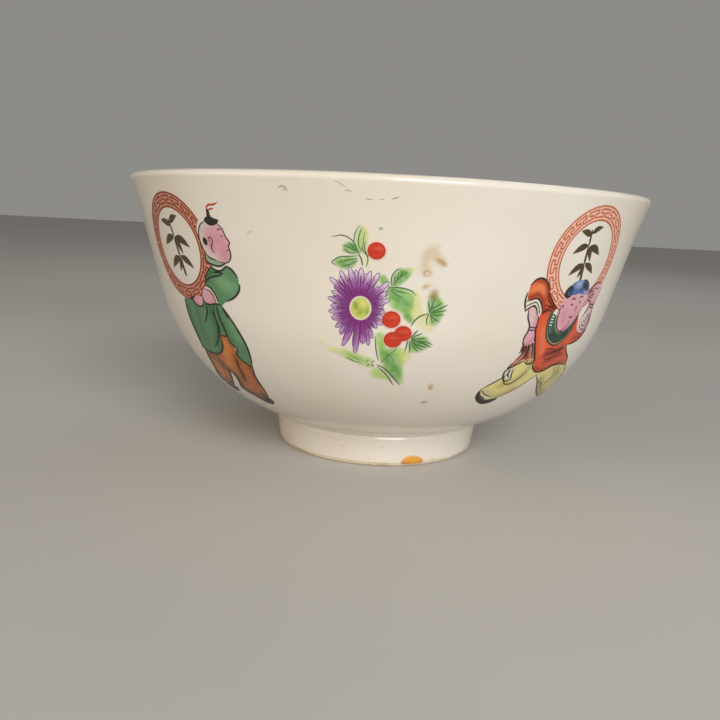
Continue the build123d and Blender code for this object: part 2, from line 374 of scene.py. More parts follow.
def distance(points, path):
    """How far each point is from an open path."""
    starts, spans = path[:-1], np.diff(path, axis=0)
    lengths = np.maximum((spans**2).sum(axis=1), 1e-12)
    offsets = points[:, None, :] - starts[None]
    share = np.clip((offsets * spans[None]).sum(axis=2) / lengths, 0, 1)
    return np.sqrt(((offsets - share[..., None] * spans[None]) ** 2).sum(axis=2)).min(axis=1)


def inside(points, loop):
    """Whether each point is inside a closed loop."""
    following = np.roll(loop, -1, axis=0)
    crossing = (loop[None, :, 1] > points[:, None, 1]) != (following[None, :, 1] > points[:, None, 1])
    rise = following[:, 1] - loop[:, 1]
    rise = np.where(np.abs(rise) < 1e-12, 1e-12, rise)
    meets = loop[:, 0] + (points[:, None, 1] - loop[:, 1]) / rise * (following[:, 0] - loop[:, 0])
    return (crossing & (points[:, None, 0] < meets)).sum(axis=1) % 2 == 1


def paint(code, cover=1.0):
    """A colour as linear red, green and blue from its sRGB hex code, with how fully it covers the glaze."""
    values = [int(code[start:start + 2], 16) / 255 for start in (1, 3, 5)]
    return np.array([v / 12.92 if v <= 0.04045 else ((v + 0.055) / 1.055) ** 2.4 for v in values] + [cover])


def over(upper, lower):
    """One layer of paint over another, each as rows of colour and cover."""
    seen_through = lower[:, 3:] * (1 - upper[:, 3:])
    cover = upper[:, 3:] + seen_through
    mixed = (upper[:, :3] * upper[:, 3:] + lower[:, :3] * seen_through) / np.maximum(cover, 1e-6)
    return np.hstack((np.where(cover > 1e-4, mixed, upper[:, :3]), cover))


def triangulated(loops, grain):
    """Points, triangles and their directed edges that fill the first loop around the other ones."""
    loop, *holes = loops
    rim = np.vstack(loops)
    edges, first = [], 0
    for ring in loops:
        edges += [(first + at, first + (at + 1) % len(ring)) for at in range(len(ring))]
        first += len(ring)
    low, high = rim.min(axis=0), rim.max(axis=0)
    columns = np.arange(low[0], high[0], grain)
    rows = np.arange(low[1], high[1], grain * ROW_PITCH)
    across, up = np.meshgrid(columns, rows)
    across = across + (np.arange(len(rows)) % 2)[:, None] * grain / 2
    lattice = np.column_stack((across.ravel(), up.ravel()))
    lattice = lattice[inside(lattice, loop)]
    for hole in holes:
        lattice = lattice[~inside(lattice, hole)]
    for ring in loops:
        if len(lattice):
            lattice = lattice[distance(lattice, np.vstack((ring, ring[:1]))) > grain * 0.45]
    every = [Vector(point) for point in np.vstack((rim, lattice))]
    corners, _, triangles, *_ = delaunay_2d_cdt(every, edges, [], 1, 1e-5)
    top = np.array([tuple(corner) for corner in corners])
    middles = np.array([top[face].mean(axis=0) for face in triangles])
    kept = inside(middles, loop)
    for hole in holes:
        kept &= ~inside(middles, hole)
    triangles = [face for face, keep in zip(triangles, kept) if keep]
    directed = set()
    for number, face in enumerate(triangles):
        a, b, c = (top[corner] for corner in face[:3])
        if (b[0] - a[0]) * (c[1] - a[1]) < (b[1] - a[1]) * (c[0] - a[0]):
            triangles[number] = face[::-1]
        face = triangles[number]
        directed |= {(face[at], face[(at + 1) % len(face)]) for at in range(len(face))}
    return top, triangles, directed


class Film:
    """Enamel on the wall: filled shapes and brush strokes, drawn flat in a motif's plane.

    Where a fill is thin, it takes on the colours of the fills beneath it, in its own film and in the
    one below.
    """

    def __init__(self, below=None):
        self.flat, self.lift, self.paint, self.faces = [], [], [], []
        self.count = 0
        self.laid = list(below.laid) if below else []

    def add(self, flat, lift, colours, faces):
        self.faces += [tuple(self.count + corner for corner in face) for face in faces]
        self.flat.append(flat)
        self.lift.append(lift)
        self.paint.append(colours)
        self.count += len(flat)

    def fill(self, loop, colour, level=0, holes=(), shades=(), fade=0.0, patchy=0.0, grain=0.5):
        """A filled outline, with shades as soft strokes inside it: (colour, width, strength, points)."""
        loops = [loop, *holes]
        top, triangles, directed = triangulated(loops, grain)
        closed = [np.vstack((ring, ring[:1])) for ring in loops]

        def share_of(points):
            if not fade:
                return np.ones(len(points))
            share = np.clip(np.min([distance(points, ring) for ring in closed], axis=0) / fade, 0, 1)
            return share * share * (3 - 2 * share)

        def rise(points):
            return LAYER * (level + 1) * share_of(points)

        def tone(points):
            colours = np.tile(colour, (len(points), 1))
            for shade, width, strength, knots in shades:
                path = curve(*knots) if len(knots) > 1 else np.array((knots[0], knots[0]))
                weight = strength * np.exp(-((distance(points, path) / width) ** 2))[:, None]
                colours = colours * (1 - weight) + shade * weight
            colours[:, 3] *= share_of(points)
            if patchy:
                blotch = np.array([noise.noise((x * 0.9, y * 0.9, 3.1)) for x, y in points])
                colours[:, 3] *= np.clip(1 - patchy * (0.5 + blotch), 0, 1)
            return colours

        colours, height = tone(top), np.full(len(top), LAYER * (level + 1))
        if fade or colour[3] < 1:
            beneath, bed = np.zeros((len(top), 4)), np.zeros(len(top))
            for lower_loop, lower_tone, lower_rise in self.laid:
                covered = inside(top, lower_loop)
                if covered.any():
                    beneath[covered] = over(lower_tone(top[covered]), beneath[covered])
                    bed[covered] = np.maximum(bed[covered], lower_rise(top[covered]))
            colours = over(colours, beneath)
            height = np.maximum(bed + (height - bed) * share_of(top), 0.001)
        self.laid.append((loop, tone, rise))
        size = len(top)
        edge_faces = [(b, a, a + size, b + size) for a, b in directed if (b, a) not in directed]
        under = [tuple(corner + size for corner in face[::-1]) for face in triangles]
        lift = np.concatenate((height, np.full(size, ENAMEL_SINK)))
        faces = [tuple(face) for face in triangles] + edge_faces + under
        self.add(np.vstack((top, top)), lift, np.vstack((colours, colours)), faces)

    def stroke(self, path, width, colour, level=1, taper=0.75, closed=False):
        """A brush stroke along a path, thinner at its ends by taper."""
        if closed:
            path = np.vstack((path, path[:1]))
        ahead = np.gradient(path, axis=0)
        if closed:
            ahead[0] = ahead[-1] = path[1] - path[-2]
        ahead /= np.maximum(np.hypot(*ahead.T), 1e-9)[:, None]
        aside = np.column_stack((-ahead[:, 1], ahead[:, 0]))
        share = np.linspace(-1, 1, len(path))
        half = width / 2 * (1 - (0 if closed else taper) * np.abs(share) ** 3)
        height = LAYER * (level + 1)
        shoulder = height - LINE_RELIEF
        spread = (
            (1, ENAMEL_SINK), (FLAT_SHARE, shoulder), (0, height), (-FLAT_SHARE, shoulder), (-1, ENAMEL_SINK),
        )
        flat = np.stack([path + (half * side)[:, None] * aside for side, _ in spread], axis=1).reshape(-1, 2)
        lift = np.tile([rise for _, rise in spread], len(path))
        faces, ring = [], len(spread)
        for at in range(len(path) - 1):
            here, there = at * ring, (at + 1) * ring
            faces += [
                (here + k, here + (k + 1) % ring, there + (k + 1) % ring, there + k) for k in range(ring)
            ]
        last = (len(path) - 1) * ring
        faces += [tuple(range(ring - 1, -1, -1)), tuple(range(last, last + ring))]
        self.add(flat, lift, np.tile(colour, (len(flat), 1)), faces)

    def strokes(self, colour, level, *lines):
        """Several strokes, each given as its width and then its points."""
        for width, *points in lines:
            self.stroke(curve(*points), width * LINE_WEIGHT, colour, level)

    def build(self, name, azimuth, slot, *nodes, surface=lay):
        """The film as one piece on the wall, in place of the nodes."""
        flat, lift = np.vstack(self.flat), np.concatenate(self.lift)
        place(name, surface(flat, lift, azimuth), self.faces, slot, nodes, np.vstack(self.paint))

    def build_node(self, name, azimuth, slot):
        """The film as one piece in place of the node that has its name."""
        self.build(name, azimuth, slot, name)


# ---------------------------------------------------------------- materials

class Look:
    """A material, with the few kinds of node that the bowl's materials are made of."""

    def __init__(self, name):
        self.material = bpy.data.materials.new(name)
        self.material.use_nodes = True
        self.nodes, self.links = self.material.node_tree.nodes, self.material.node_tree.links
        self.shader = self.nodes["Principled BSDF"]

    def shade(self, socket, source):
        self.links.new(source, self.shader.inputs[socket])

    def noise(self, scale, detail=3.0, roughness=0.5):
        where = self.nodes.new("ShaderNodeTexCoord")
        pattern = self.nodes.new("ShaderNodeTexNoise")
        pattern.inputs["Scale"].default_value = scale
        pattern.inputs["Detail"].default_value = detail
        pattern.inputs["Roughness"].default_value = roughness
        self.links.new(where.outputs["Object"], pattern.inputs["Vector"])
        return pattern.outputs["Fac"]

    def ramp(self, factor, *stops):
        """A colour ramp over a factor, with its stops as (position, colour)."""
        ramp = self.nodes.new("ShaderNodeValToRGB")
        while len(ramp.color_ramp.elements) < len(stops):
            ramp.color_ramp.elements.new(0.5)
        for element, (position, colour) in zip(ramp.color_ramp.elements, stops):
            element.position = position
            element.color = (*colour[:3], 1)
        self.links.new(factor, ramp.inputs["Fac"])
        return ramp.outputs["Color"]

    def spread(self, value, low, high, start=0.3, end=0.7):
        """A value that runs from start to end, spread over low to high."""
        spread = self.nodes.new("ShaderNodeMapRange")
        spread.inputs["From Min"].default_value = start
        spread.inputs["From Max"].default_value = end
        spread.inputs["To Min"].default_value = low
        spread.inputs["To Max"].default_value = high
        self.links.new(value, spread.inputs["Value"])
        return spread.outputs["Result"]

    def mix(self, factor, first, second):
        mix = self.nodes.new("ShaderNodeMix")
        mix.data_type = "RGBA"
        for socket, source in ((mix.inputs[0], factor), (mix.inputs[6], first), (mix.inputs[7], second)):
            if isinstance(source, bpy.types.NodeSocket):
                self.links.new(source, socket)
            else:
                socket.default_value = source
        return mix.outputs[2]

    def bump(self, height, strength, depth):
        bump = self.nodes.new("ShaderNodeBump")
        bump.inputs["Strength"].default_value = strength
        bump.inputs["Distance"].default_value = depth
        self.links.new(height, bump.inputs["Height"])
        self.shade("Normal", bump.outputs["Normal"])


GLAZE_WARM = paint("#E2D9CA")
GLAZE_COOL = paint("#E7E1D7")
GLAZE_SPECK = paint("#8E7350")
GLAZE_IOR = 1.5
SPECK_SCALE, SPECK_SIZE, SPECK_COVER = 95, 0.055, 0.55
CLAY_DARK, CLAY_MIDDLE, CLAY_PALE = paint("#C2AD86"), paint("#DCCFB2"), paint("#E8E0CE")


def glaze_colour(look):
    """The glaze's warm off-white, slightly clouded, with a few tiny iron specks."""
    clouds = look.ramp(look.noise(45, detail=4), (0.35, GLAZE_WARM), (0.68, GLAZE_COOL))
    where = look.nodes.new("ShaderNodeTexCoord")
    cells = look.nodes.new("ShaderNodeTexVoronoi")
    cells.inputs["Scale"].default_value = SPECK_SCALE
    look.links.new(where.outputs["Object"], cells.inputs["Vector"])
    rare = look.spread(look.noise(60, detail=2), 0, SPECK_SIZE, start=0.50, end=0.66)
    size = look.nodes.new("ShaderNodeMath")
    size.operation = "LESS_THAN"
    look.links.new(cells.outputs["Distance"], size.inputs[0])
    look.links.new(rare, size.inputs[1])
    faint = look.nodes.new("ShaderNodeMath")
    faint.operation = "MULTIPLY"
    faint.inputs[1].default_value = SPECK_COVER
    look.links.new(size.outputs[0], faint.inputs[0])
    return look.mix(faint.outputs[0], clouds, (*GLAZE_SPECK[:3], 1))


def glaze_material(name):
    look = Look(name)
    look.shade("Base Color", glaze_colour(look))
    look.shade("Roughness", look.spread(look.noise(70, detail=5, roughness=0.6), 0.10, 0.20))
    look.bump(look.noise(160, detail=2), strength=0.25, depth=0.00012)
    look.shader.inputs["IOR"].default_value = GLAZE_IOR
    return look.material


def enamel_material(name, roughness, graininess):
    """Enamel in the piece's painted colours: thin where their cover is low, and slightly uneven."""
    look = Look(name)
    painted = look.nodes.new("ShaderNodeAttribute")
    painted.attribute_name = "paint"
    cloud = look.spread(look.noise(900), 1 - graininess, 1 + graininess)
    tint = look.nodes.new("ShaderNodeVectorMath")
    tint.operation = "SCALE"
    look.links.new(painted.outputs["Color"], tint.inputs[0])
    look.links.new(cloud, tint.inputs["Scale"])
    look.shade("Base Color", look.mix(painted.outputs["Alpha"], glaze_colour(look), tint.outputs[0]))
    look.shade("Roughness", look.spread(look.noise(400), roughness - 0.05, roughness + 0.08))
    look.bump(look.noise(700, detail=2), strength=0.25, depth=0.00004)
    look.shader.inputs["IOR"].default_value = GLAZE_IOR
    return look.material


def clay_material(name):
    """Bare fired clay: matt, fine-grained and a little darkened by handling."""
    look = Look(name)
    grain = look.noise(220, detail=6, roughness=0.7)
    look.shade("Base Color", look.ramp(grain, (0.30, CLAY_DARK), (0.50, CLAY_MIDDLE), (0.72, CLAY_PALE)))
    look.shade("Roughness", look.spread(look.noise(500, detail=4), 0.6, 0.85))
    look.bump(look.noise(1500, detail=4, roughness=0.7), strength=0.5, depth=0.0001)
    return look.material


MATERIALS = {
    "bare_clay": clay_material("bare_clay"),
    "glaze": glaze_material("glaze"),
    **{
        slot: enamel_material(slot, roughness, graininess)
        for slot, roughness, graininess in (
            ("iron_red_enamel", 0.30, 0.10),
            ("olive_enamel", 0.32, 0.12),
            ("rose_enamel", 0.26, 0.05),
            ("green_enamel", 0.22, 0.08),
            ("blue_enamel", 0.22, 0.08),
            ("orange_enamel", 0.24, 0.07),
            ("purple_enamel", 0.28, 0.10),
            ("amber_enamel", 0.24, 0.08),
            ("yellow_enamel", 0.22, 0.06),
            ("black_enamel", 0.30, 0.10),
            ("berry_red_enamel", 0.24, 0.06),
            ("leaf_green_enamel", 0.24, 0.08),
        )
    },
}


def place(name, points, faces, slot, nodes=(), colours=None):
    """One finished piece of the bowl, riding on its only body."""
    mesh = bpy.data.meshes.new(name)
    mesh.from_pydata((settled(points) * METRES).tolist(), [], faces)
    if colours is not None:
        layer = mesh.color_attributes.new("paint", "FLOAT_COLOR", "POINT")
        layer.data.foreach_set("color", colours.astype(np.float32).ravel())
    shape = bmesh.new()
    shape.from_mesh(mesh)
    bmesh.ops.recalc_face_normals(shape, faces=shape.faces)
    shape.to_mesh(mesh)
    shape.free()
    mesh.shade_smooth()
    mesh.set_sharp_from_angle(angle=radians(CREASE_ANGLE))
    mesh.materials.append(MATERIALS[slot])
    piece = bpy.data.objects.new(name, mesh)
    bpy.context.scene.collection.objects.link(piece)
    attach(piece, "root")
    if nodes:
        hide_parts(*nodes)


# ---------------------------------------------------------------- the vessel

place("glaze_skin", *lathe(glaze_section(), SKIN_SEGMENTS), "glaze", ["glaze_coat"])
place("foot_well_skin", *lathe(well_section(), CLAY_SEGMENTS), "glaze", ["foot_well_glaze"])
place("clay_body", *lathe(body_section(), CLAY_SEGMENTS), "bare_clay", ["porcelain_body"])


# ---------------------------------------------------------------- medallions

BAND_OUTER, BAND_INNER = 9.9, 7.1
BAND_EDGES = (BAND_OUTER - 0.15, BAND_INNER + 0.13)
FRET_UNITS = 18
FRET_ROWS = (7.86, 8.52, 9.18)
FRET_PATH = ((0.12, 2), (0.88, 2), (0.88, 1), (0.59, 1), (0.59, 0), (1.41, 0), (1.41, 1), (1.12, 1))
OLIVE, OLIVE_LIGHT = paint("#453816"), paint("#6E6030")
CANE = (
    (0.80, (1.1, -5.2), (0.7, -3.6), (0.5, -1.9)),
    (0.72, (0.4, -1.5), (0.1, 0.2), (-0.1, 1.8)),
    (0.60, (-0.2, 2.2), (-0.5, 3.6), (-1.0, 5.2)),
)
SPRIG_LEAVES = (
    ((-0.7, 4.4), 3.6, 1.25, 24, 0.3),
    ((-0.6, 3.9), 3.6, 1.25, 166, -0.3),
    ((-0.1, 2.1), 4.6, 1.45, 204, -0.4),
    ((0.0, 1.9), 4.9, 1.50, -20, 0.45),
    ((0.0, 1.7), 3.4, 1.15, -56, 0.2),
    ((0.5, -1.6), 4.6, 1.45, 212, -0.35),
    ((0.5, -1.5), 4.4, 1.35, -28, 0.35),
    ((0.5, -1.8), 2.8, 1.05, 248, 0.1),
)


def fret(centre):
    """The key fret's one unbroken line, which makes interlocking T shapes around a ring."""
    pitch = 360 / FRET_UNITS
    corners = [(unit + along, FRET_ROWS[row]) for unit in range(FRET_UNITS) for along, row in FRET_PATH]
    closing = (FRET_UNITS + FRET_PATH[0][0], FRET_ROWS[FRET_PATH[0][1]])
    path = []
    for (along, radius), (next_along, next_radius) in zip(corners, corners[1:] + [closing]):
        for share in np.linspace(0, 1, 5, endpoint=False):
            turn = (along + (next_along - along) * share) * pitch
            path.append(centre + polar(radius + (next_radius - radius) * share, turn))
    return np.array(path)


def medallion(name, azimuth, centre, ground, line, line_width, emblem_centre, emblem_scale=1.0):
    """A ring of key fret around a bamboo sprig."""
    centre = np.array(centre)
    band = Film()
    band.fill(oval(centre, BAND_OUTER, BAND_OUTER), ground, 0, [oval(centre, BAND_INNER, BAND_INNER)],
              patchy=0.15)
    for radius in BAND_EDGES:
        band.stroke(oval(centre, radius, radius), line_width, line, 1, closed=True)
    band.stroke(fret(centre), line_width, line, 1, closed=True)
    band.build_node(f"{name}_medallion_border", azimuth, "iron_red_enamel")
    sprig = Film()
    middle = np.array(emblem_centre)
    for width, *cane in CANE:
        sprig.stroke(curve(*(middle + np.array(cane) * emblem_scale)), width * emblem_scale, OLIVE, 0, 0.3)
    for foot, length, width, direction, bend in SPRIG_LEAVES:
        root, reach = middle + np.array(foot) * emblem_scale, length * emblem_scale
        leaf = blade(root, reach, width * emblem_scale, direction, bend * emblem_scale, 0.4)
        tip = tuple(root + polar(reach, direction))
        sprig.fill(leaf, OLIVE, 0.4, shades=((OLIVE_LIGHT, 1.2, 0.5, (tip,)),), grain=0.4)
    sprig.build_node(f"{name}_emblem", azimuth, "olive_enamel")


# ---------------------------------------------------------------- the boys

INK = paint("#232116")
INK_SOFT = paint("#553238")
SKIN, SKIN_PALE, SKIN_DEEP = paint("#DBA2AF"), paint("#D2C8BE"), paint("#BC7888")
RIBBON_RED = paint("#B5502F")
CREAM = paint("#DDD6C4")
CUFF = paint("#D9BFC0")
BARE = paint("#E3DCC8", 0)
COLLAR_TURN = paint("#93AB90")
COLLAR_GREEN, COLLAR_DARK, COLLAR_PALE = paint("#34594A"), paint("#123528"), paint("#8E9C80")
CAP_BLUE, CAP_PALE, CAP_LILAC = paint("#4A6FA8"), paint("#AFC3DF"), paint("#B9B4D6")
CAP_DEEP, CAP_DARK = paint("#3C62A0"), paint("#26385F")
SASH, SASH_PALE, SASH_DARK = paint("#9E4F3C"), paint("#D9A690"), paint("#5A2218")
TROUSER_INK = paint("#45401F")
DARK, DARKER = (0.4, 0.4, 0.4, 1), (0.3, 0.3, 0.3, 1)

# The colours of one garment, as its base, its folds and painted shade, its lit parts (if any are drawn) and
# its slot
Cloth = namedtuple("Cloth", "base dark light slot")


def bearer_head(name, azimuth):
    """A shaven head in profile, with a pale scalp and neck."""
    head = Film()
    head.fill(outline((
        (6.3, 12.4), (6.3, 13.6), (7.4, 15.2), (9.4, 15.8), (8.6, 14.4), (7.4, 12.6),
    )), BARE, 1.6)
    head.fill(outline((
        (7.4, 9.2), (6.6, 10.8), (6.5, 12.6), (7.4, 14.2), (9.2, 15.0), (11.2, 14.7), (12.5, 13.6),
        (12.9, 12.2), (13.5, 11.1), (13.1, 10.5), (13.2, 9.7), (13.1, 8.7), (12.3, 7.8), (10.9, 7.7),
        (9.4, 8.1),
    )), SKIN, 2, shades=(
        (SKIN_PALE, 1.3, 0.95, ((8.9, 15.0), (7.0, 13.8), (6.8, 11.0), (7.8, 9.0), (9.0, 8.4))),
        (SKIN_DEEP, 1.3, 0.35, ((10.6, 12.0), (11.8, 10.4), (11.6, 9.2))),
        (SKIN_DEEP, 0.5, 0.8, ((8.9, 11.6), (9.3, 10.4))),
    ))
    head.build_node(f"{name}_head", azimuth, "rose_enamel")


def bearer_hands(name, azimuth):
    hands = Film()
    far_hand = ((3.3, 0.9), (3.2, -0.2), (1.8, -0.7), (0.6, -0.3), (0.3, 0.4), (1.2, 1.0), (2.3, 1.2))
    near_hand = (
        (4.4, 2.7), (5.6, 2.5), (6.5, 1.6), (6.8, 0.5), (5.6, 0.0), (4.2, 0.0), (3.4, 0.8), (3.6, 1.9),
    )
    for shape in (far_hand, near_hand):
        shades = ((SKIN_DEEP, 0.5, 0.5, shape[2:5]), (SKIN_PALE, 0.5, 0.5, shape[:1]))
        hands.fill(outline(shape), SKIN, 3, shades=shades)
    hands.build_node(f"{name}_hands", azimuth, "rose_enamel")


def bearer_coat(name, azimuth, coat):
    """A long coat, with its pale cuff and turned collar."""
    cloth = Film()
    cloth.fill(outline(
        ((7.9, 7.0), (9.6, 6.3), (11.4, 7.1)),
        ((12.4, 6.7), (13.5, 5.0), (13.5, 3.6), (12.7, 2.1), (11.3, 1.3), (9.9, 0.8)),
        ((8.3, -0.2), (9.3, -1.8), (10.3, -3.7), (11.1, -6.6), (11.2, -8.6), (10.8, -10.6)),
        ((10.1, -12.3), (8.9, -11.8), (8.1, -11.1)),
        ((7.8, -10.1), (8.3, -9.0)),
        ((8.4, -8.8), (7.6, -8.1), (7.3, -7.2)),
        ((7.2, -6.1), (6.2, -6.0)),
        ((5.3, -6.1), (5.0, -7.7), (3.4, -9.7), (0.9, -10.7), (-1.6, -10.6)),
        ((-3.4, -10.4), (-3.2, -7.0), (-3.4, -4.0)),
        ((-3.4, 0.2), (-1.5, 0.3), (0.6, 0.2), (3.4, 0.5), (5.4, 0.3)),
        ((7.6, 0.2), (7.1, 1.9), (6.3, 2.9)),
        ((5.0, 3.4), (5.7, 4.7), (6.8, 6.0)),
    ), coat.base, 1, shades=(
        (coat.light, 1.5, 0.75, ((9.6, 4.2), (11.4, 3.4))),
        (coat.light, 0.8, 0.45, ((9.4, -3.4), (10.2, -7.0))),
        (coat.dark, 0.9, 0.6, ((-2.8, -1.2), (-2.8, -9.0))),
        (coat.dark, 0.8, 0.6, ((4.4, -0.8), (4.8, -5.0), (3.0, -8.6))),
        (coat.dark, 0.6, 0.55, ((6.6, -0.6), (7.0, -3.6), (7.8, -7.6))),
        (coat.dark, 0.6, 0.65, ((6.0, 4.6), (7.4, 5.9), (9.0, 6.3))),
        (coat.dark, 0.7, 0.45, ((0.4, -1.4), (-0.4, -9.6))),
    ))
    cloth.fill(outline(
        ((5.0, 3.4), (6.2, 3.0), (7.1, 1.9), (7.6, 0.3)),
        ((7.1, 0.2), (6.6, 1.5), (5.9, 2.4), (4.7, 2.8)),
    ), CREAM, 2, grain=0.4)
    cloth.fill(outline((
        (7.1, 8.9), (7.2, 7.9), (8.4, 7.4), (10.2, 7.2), (11.7, 7.7), (11.0, 7.7), (9.6, 8.0), (8.2, 8.4),
    )), COLLAR_TURN, 1.6, grain=0.4)
    cloth.build_node(f"{name}_coat", azimuth, coat.slot)


def bearer_trousers(name, azimuth, trousers):
    legs = Film()
    legs.fill(outline(
        ((-3.0, -10.4), (-3.6, -13.4), (-4.4, -15.6), (-5.6, -17.8)),
        ((-6.2, -19.6), (-4.4, -20.6), (-2.4, -20.2)),
        ((-1.4, -19.4), (0.3, -17.3)),
        ((2.2, -14.8), (2.6, -16.0), (2.1, -17.8)),
        ((1.3, -19.6), (2.4, -20.8), (4.3, -21.6), (6.2, -21.6)),
        ((7.7, -20.8), (8.5, -18.6), (9.0, -15.6), (9.6, -13.6)),
        ((10.0, -12.2), (8.2, -9.6)),
        ((7.2, -6.0), (5.2, -6.0), (3.4, -9.6), (0.8, -10.5)),
    ), trousers.base, 0, shades=(
        (trousers.dark, 0.9, 0.9, ((-2.8, -11.0), (-4.2, -15.0), (-5.8, -19.4))),
        (trousers.dark, 0.9, 0.8, ((-5.4, -19.6), (-3.4, -20.2), (-1.6, -19.2))),
        (trousers.light, 1.1, 0.8, ((6.0, -8.0), (4.6, -10.4), (3.6, -12.6))),
        (trousers.light, 0.8, 0.5, ((-1.0, -13.4), (-2.6, -16.4))),
        (trousers.dark, 1.5, 0.7, ((-6.0, -18.6), (-3.6, -19.8), (-1.4, -18.6))),
        (trousers.dark, 0.6, 0.8, ((0.6, -12.0), (1.6, -15.0), (-0.8, -18.8))),
        (trousers.dark, 0.5, 0.8, ((-1.4, -11.2), (-0.6, -13.4), (0.6, -14.8))),
        (trousers.dark, 0.6, 0.7, ((6.8, -10.8), (5.9, -14.0), (5.0, -16.6))),
        (trousers.dark, 1.1, 0.95, ((3.0, -15.8), (2.2, -19.2), (5.0, -20.9), (7.4, -20.4))),
        (trousers.dark, 0.5, 0.6, ((9.4, -12.6), (8.6, -17.0))),
    ))
    legs.build_node(f"{name}_trousers", azimuth, trousers.slot)


def bearer_shoes(name, azimuth):
    feet = Film()
    feet.fill(outline((
        (-5.9, -20.2), (-4.2, -20.7), (-2.2, -20.1), (-1.4, -20.3), (-2.4, -21.6), (-4.6, -21.7),
    )), INK, 1)
    feet.fill(outline((
        (3.0, -21.1), (5.0, -21.7), (7.3, -20.9), (8.0, -21.4), (7.3, -22.8), (5.6, -23.2), (4.0, -22.3),
    )), INK, 1)
    feet.build_node(f"{name}_shoes", azimuth, "black_enamel")


def bearer_ribbon(name, azimuth):
    ribbon = Film()
    ribbon.strokes(RIBBON_RED, 1,
        (0.30, (10.0, 16.6), (10.1, 17.2), (10.8, 17.6), (11.8, 17.6), (12.8, 17.9)),
        (0.26, (10.3, 16.7), (10.9, 16.9), (11.6, 16.9)),
    )
    ribbon.build(f"{name}_ribbon", azimuth, "iron_red_enamel")


def bearer_face(ink):
    """The topknot and the lock of hair, and the soft lines of the face and fingers."""
    ink.fill(outline((
        (8.8, 15.2), (9.3, 14.4), (10.4, 14.1), (11.6, 14.4), (12.1, 15.0), (11.2, 15.3), (10.5, 15.7),
        (10.4, 16.8), (10.0, 16.9), (9.7, 15.8),
    )), INK, 3, grain=0.35)
    ink.fill(oval((7.8, 11.4), 0.52, 0.72, 15), INK, 3, grain=0.35)
    ink.strokes(INK_SOFT, 3,
        (0.22, (8.6, 11.4), (8.9, 12.1), (9.5, 12.0), (9.6, 11.2), (9.1, 10.5), (9.2, 9.8), (9.8, 9.4)),
        (0.20, (11.3, 13.3), (11.8, 13.5), (12.3, 13.3)),
        (0.34, (11.9, 12.3), (12.2, 12.3)),
        (0.16, (12.4, 9.8), (13.0, 9.9)),
        (0.16, (4.2, 1.5), (4.4, 0.8), (5.0, 0.4)),
        (0.16, (1.2, 0.6), (1.6, 0.0), (2.2, -0.1)),
    )


def bearer_outlines(ink):
    ink.strokes(INK, 4,
        # head
        (0.22, (7.4, 9.2), (6.6, 10.8), (6.5, 12.6), (7.4, 14.2), (9.0, 15.0)),
        (0.16, (11.6, 14.5), (12.5, 13.6), (12.9, 12.2), (13.5, 11.1), (13.1, 10.5), (13.2, 9.7), (13.1, 8.7),
         (12.3, 7.8), (10.9, 7.7), (9.4, 8.1)),
        # collar
        (0.28, (6.9, 8.9), (7.1, 7.9), (8.4, 7.3), (10.2, 7.1), (11.8, 7.7)),
        (0.22, (7.3, 9.2), (8.2, 8.5), (9.6, 8.1)),
        (0.24, (7.8, 7.0), (8.6, 6.4), (10.2, 6.3), (11.6, 7.0)),
        # sleeve and cuff
        (0.26, (5.0, 3.4), (5.8, 4.4), (7.6, 5.1), (9.4, 5.4), (10.5, 5.8)),
        (0.22, (5.3, 4.3), (6.4, 5.8), (7.8, 7.0)),
        (0.30, (8.2, 5.9), (9.2, 6.0), (10.4, 5.8)),
        (0.24, (11.4, 7.2), (12.4, 6.7), (13.2, 5.8), (13.6, 4.9)),
        (0.28, (13.7, 3.9), (13.4, 2.9), (12.3, 1.8), (11.2, 1.2), (9.8, 0.7)),
        (0.26, (5.0, 3.4), (6.2, 3.1), (7.2, 1.9), (7.7, 0.3)),
        (0.20, (4.7, 2.8), (5.9, 2.4), (6.7, 1.5), (7.1, 0.2)),
        # hands
        (0.30, (3.8, 2.3), (3.3, 1.4), (3.6, 0.3), (4.4, -0.1), (5.8, -0.1), (7.2, 0.1), (8.2, -0.2)),
        (0.28, (3.3, 0.8), (3.0, -0.4), (1.8, -0.8), (0.5, -0.4), (-0.8, 0.3)),
        (0.40, (-1.0, 0.5), (-0.2, 0.7), (0.6, 0.9)),
        # coat
        (0.28, (-3.5, 0.0), (-3.6, -4.0), (-3.3, -7.0), (-3.5, -10.4)),
        (0.34, (-3.5, -10.3), (-1.6, -10.8), (0.9, -10.9), (3.3, -10.0), (4.8, -8.2), (5.2, -6.2)),
        (0.28, (3.9, -0.1), (3.7, -1.6), (2.8, -3.0), (1.8, -4.0)),
        (0.28, (4.9, -0.4), (5.6, -2.7), (5.4, -5.0), (4.0, -7.4), (1.8, -9.2)),
        (0.22, (5.9, -0.3), (5.7, -2.6), (5.9, -4.6), (5.4, -6.1)),
        (0.30, (7.0, 0.0), (6.8, -2.2), (7.3, -4.6), (7.2, -6.1), (5.4, -6.2)),
        (0.28, (8.2, -0.1), (9.3, -1.8), (10.3, -3.7), (11.2, -6.6), (11.3, -8.6), (10.9, -10.6),
         (10.1, -12.5)),
        (0.34, (8.3, -0.6), (8.8, -1.4), (9.2, -2.4)),
        (0.28, (7.2, -6.0), (7.4, -7.4), (8.5, -8.8), (7.8, -9.9), (8.2, -11.2), (9.2, -12.0), (10.2, -12.6)),
    )


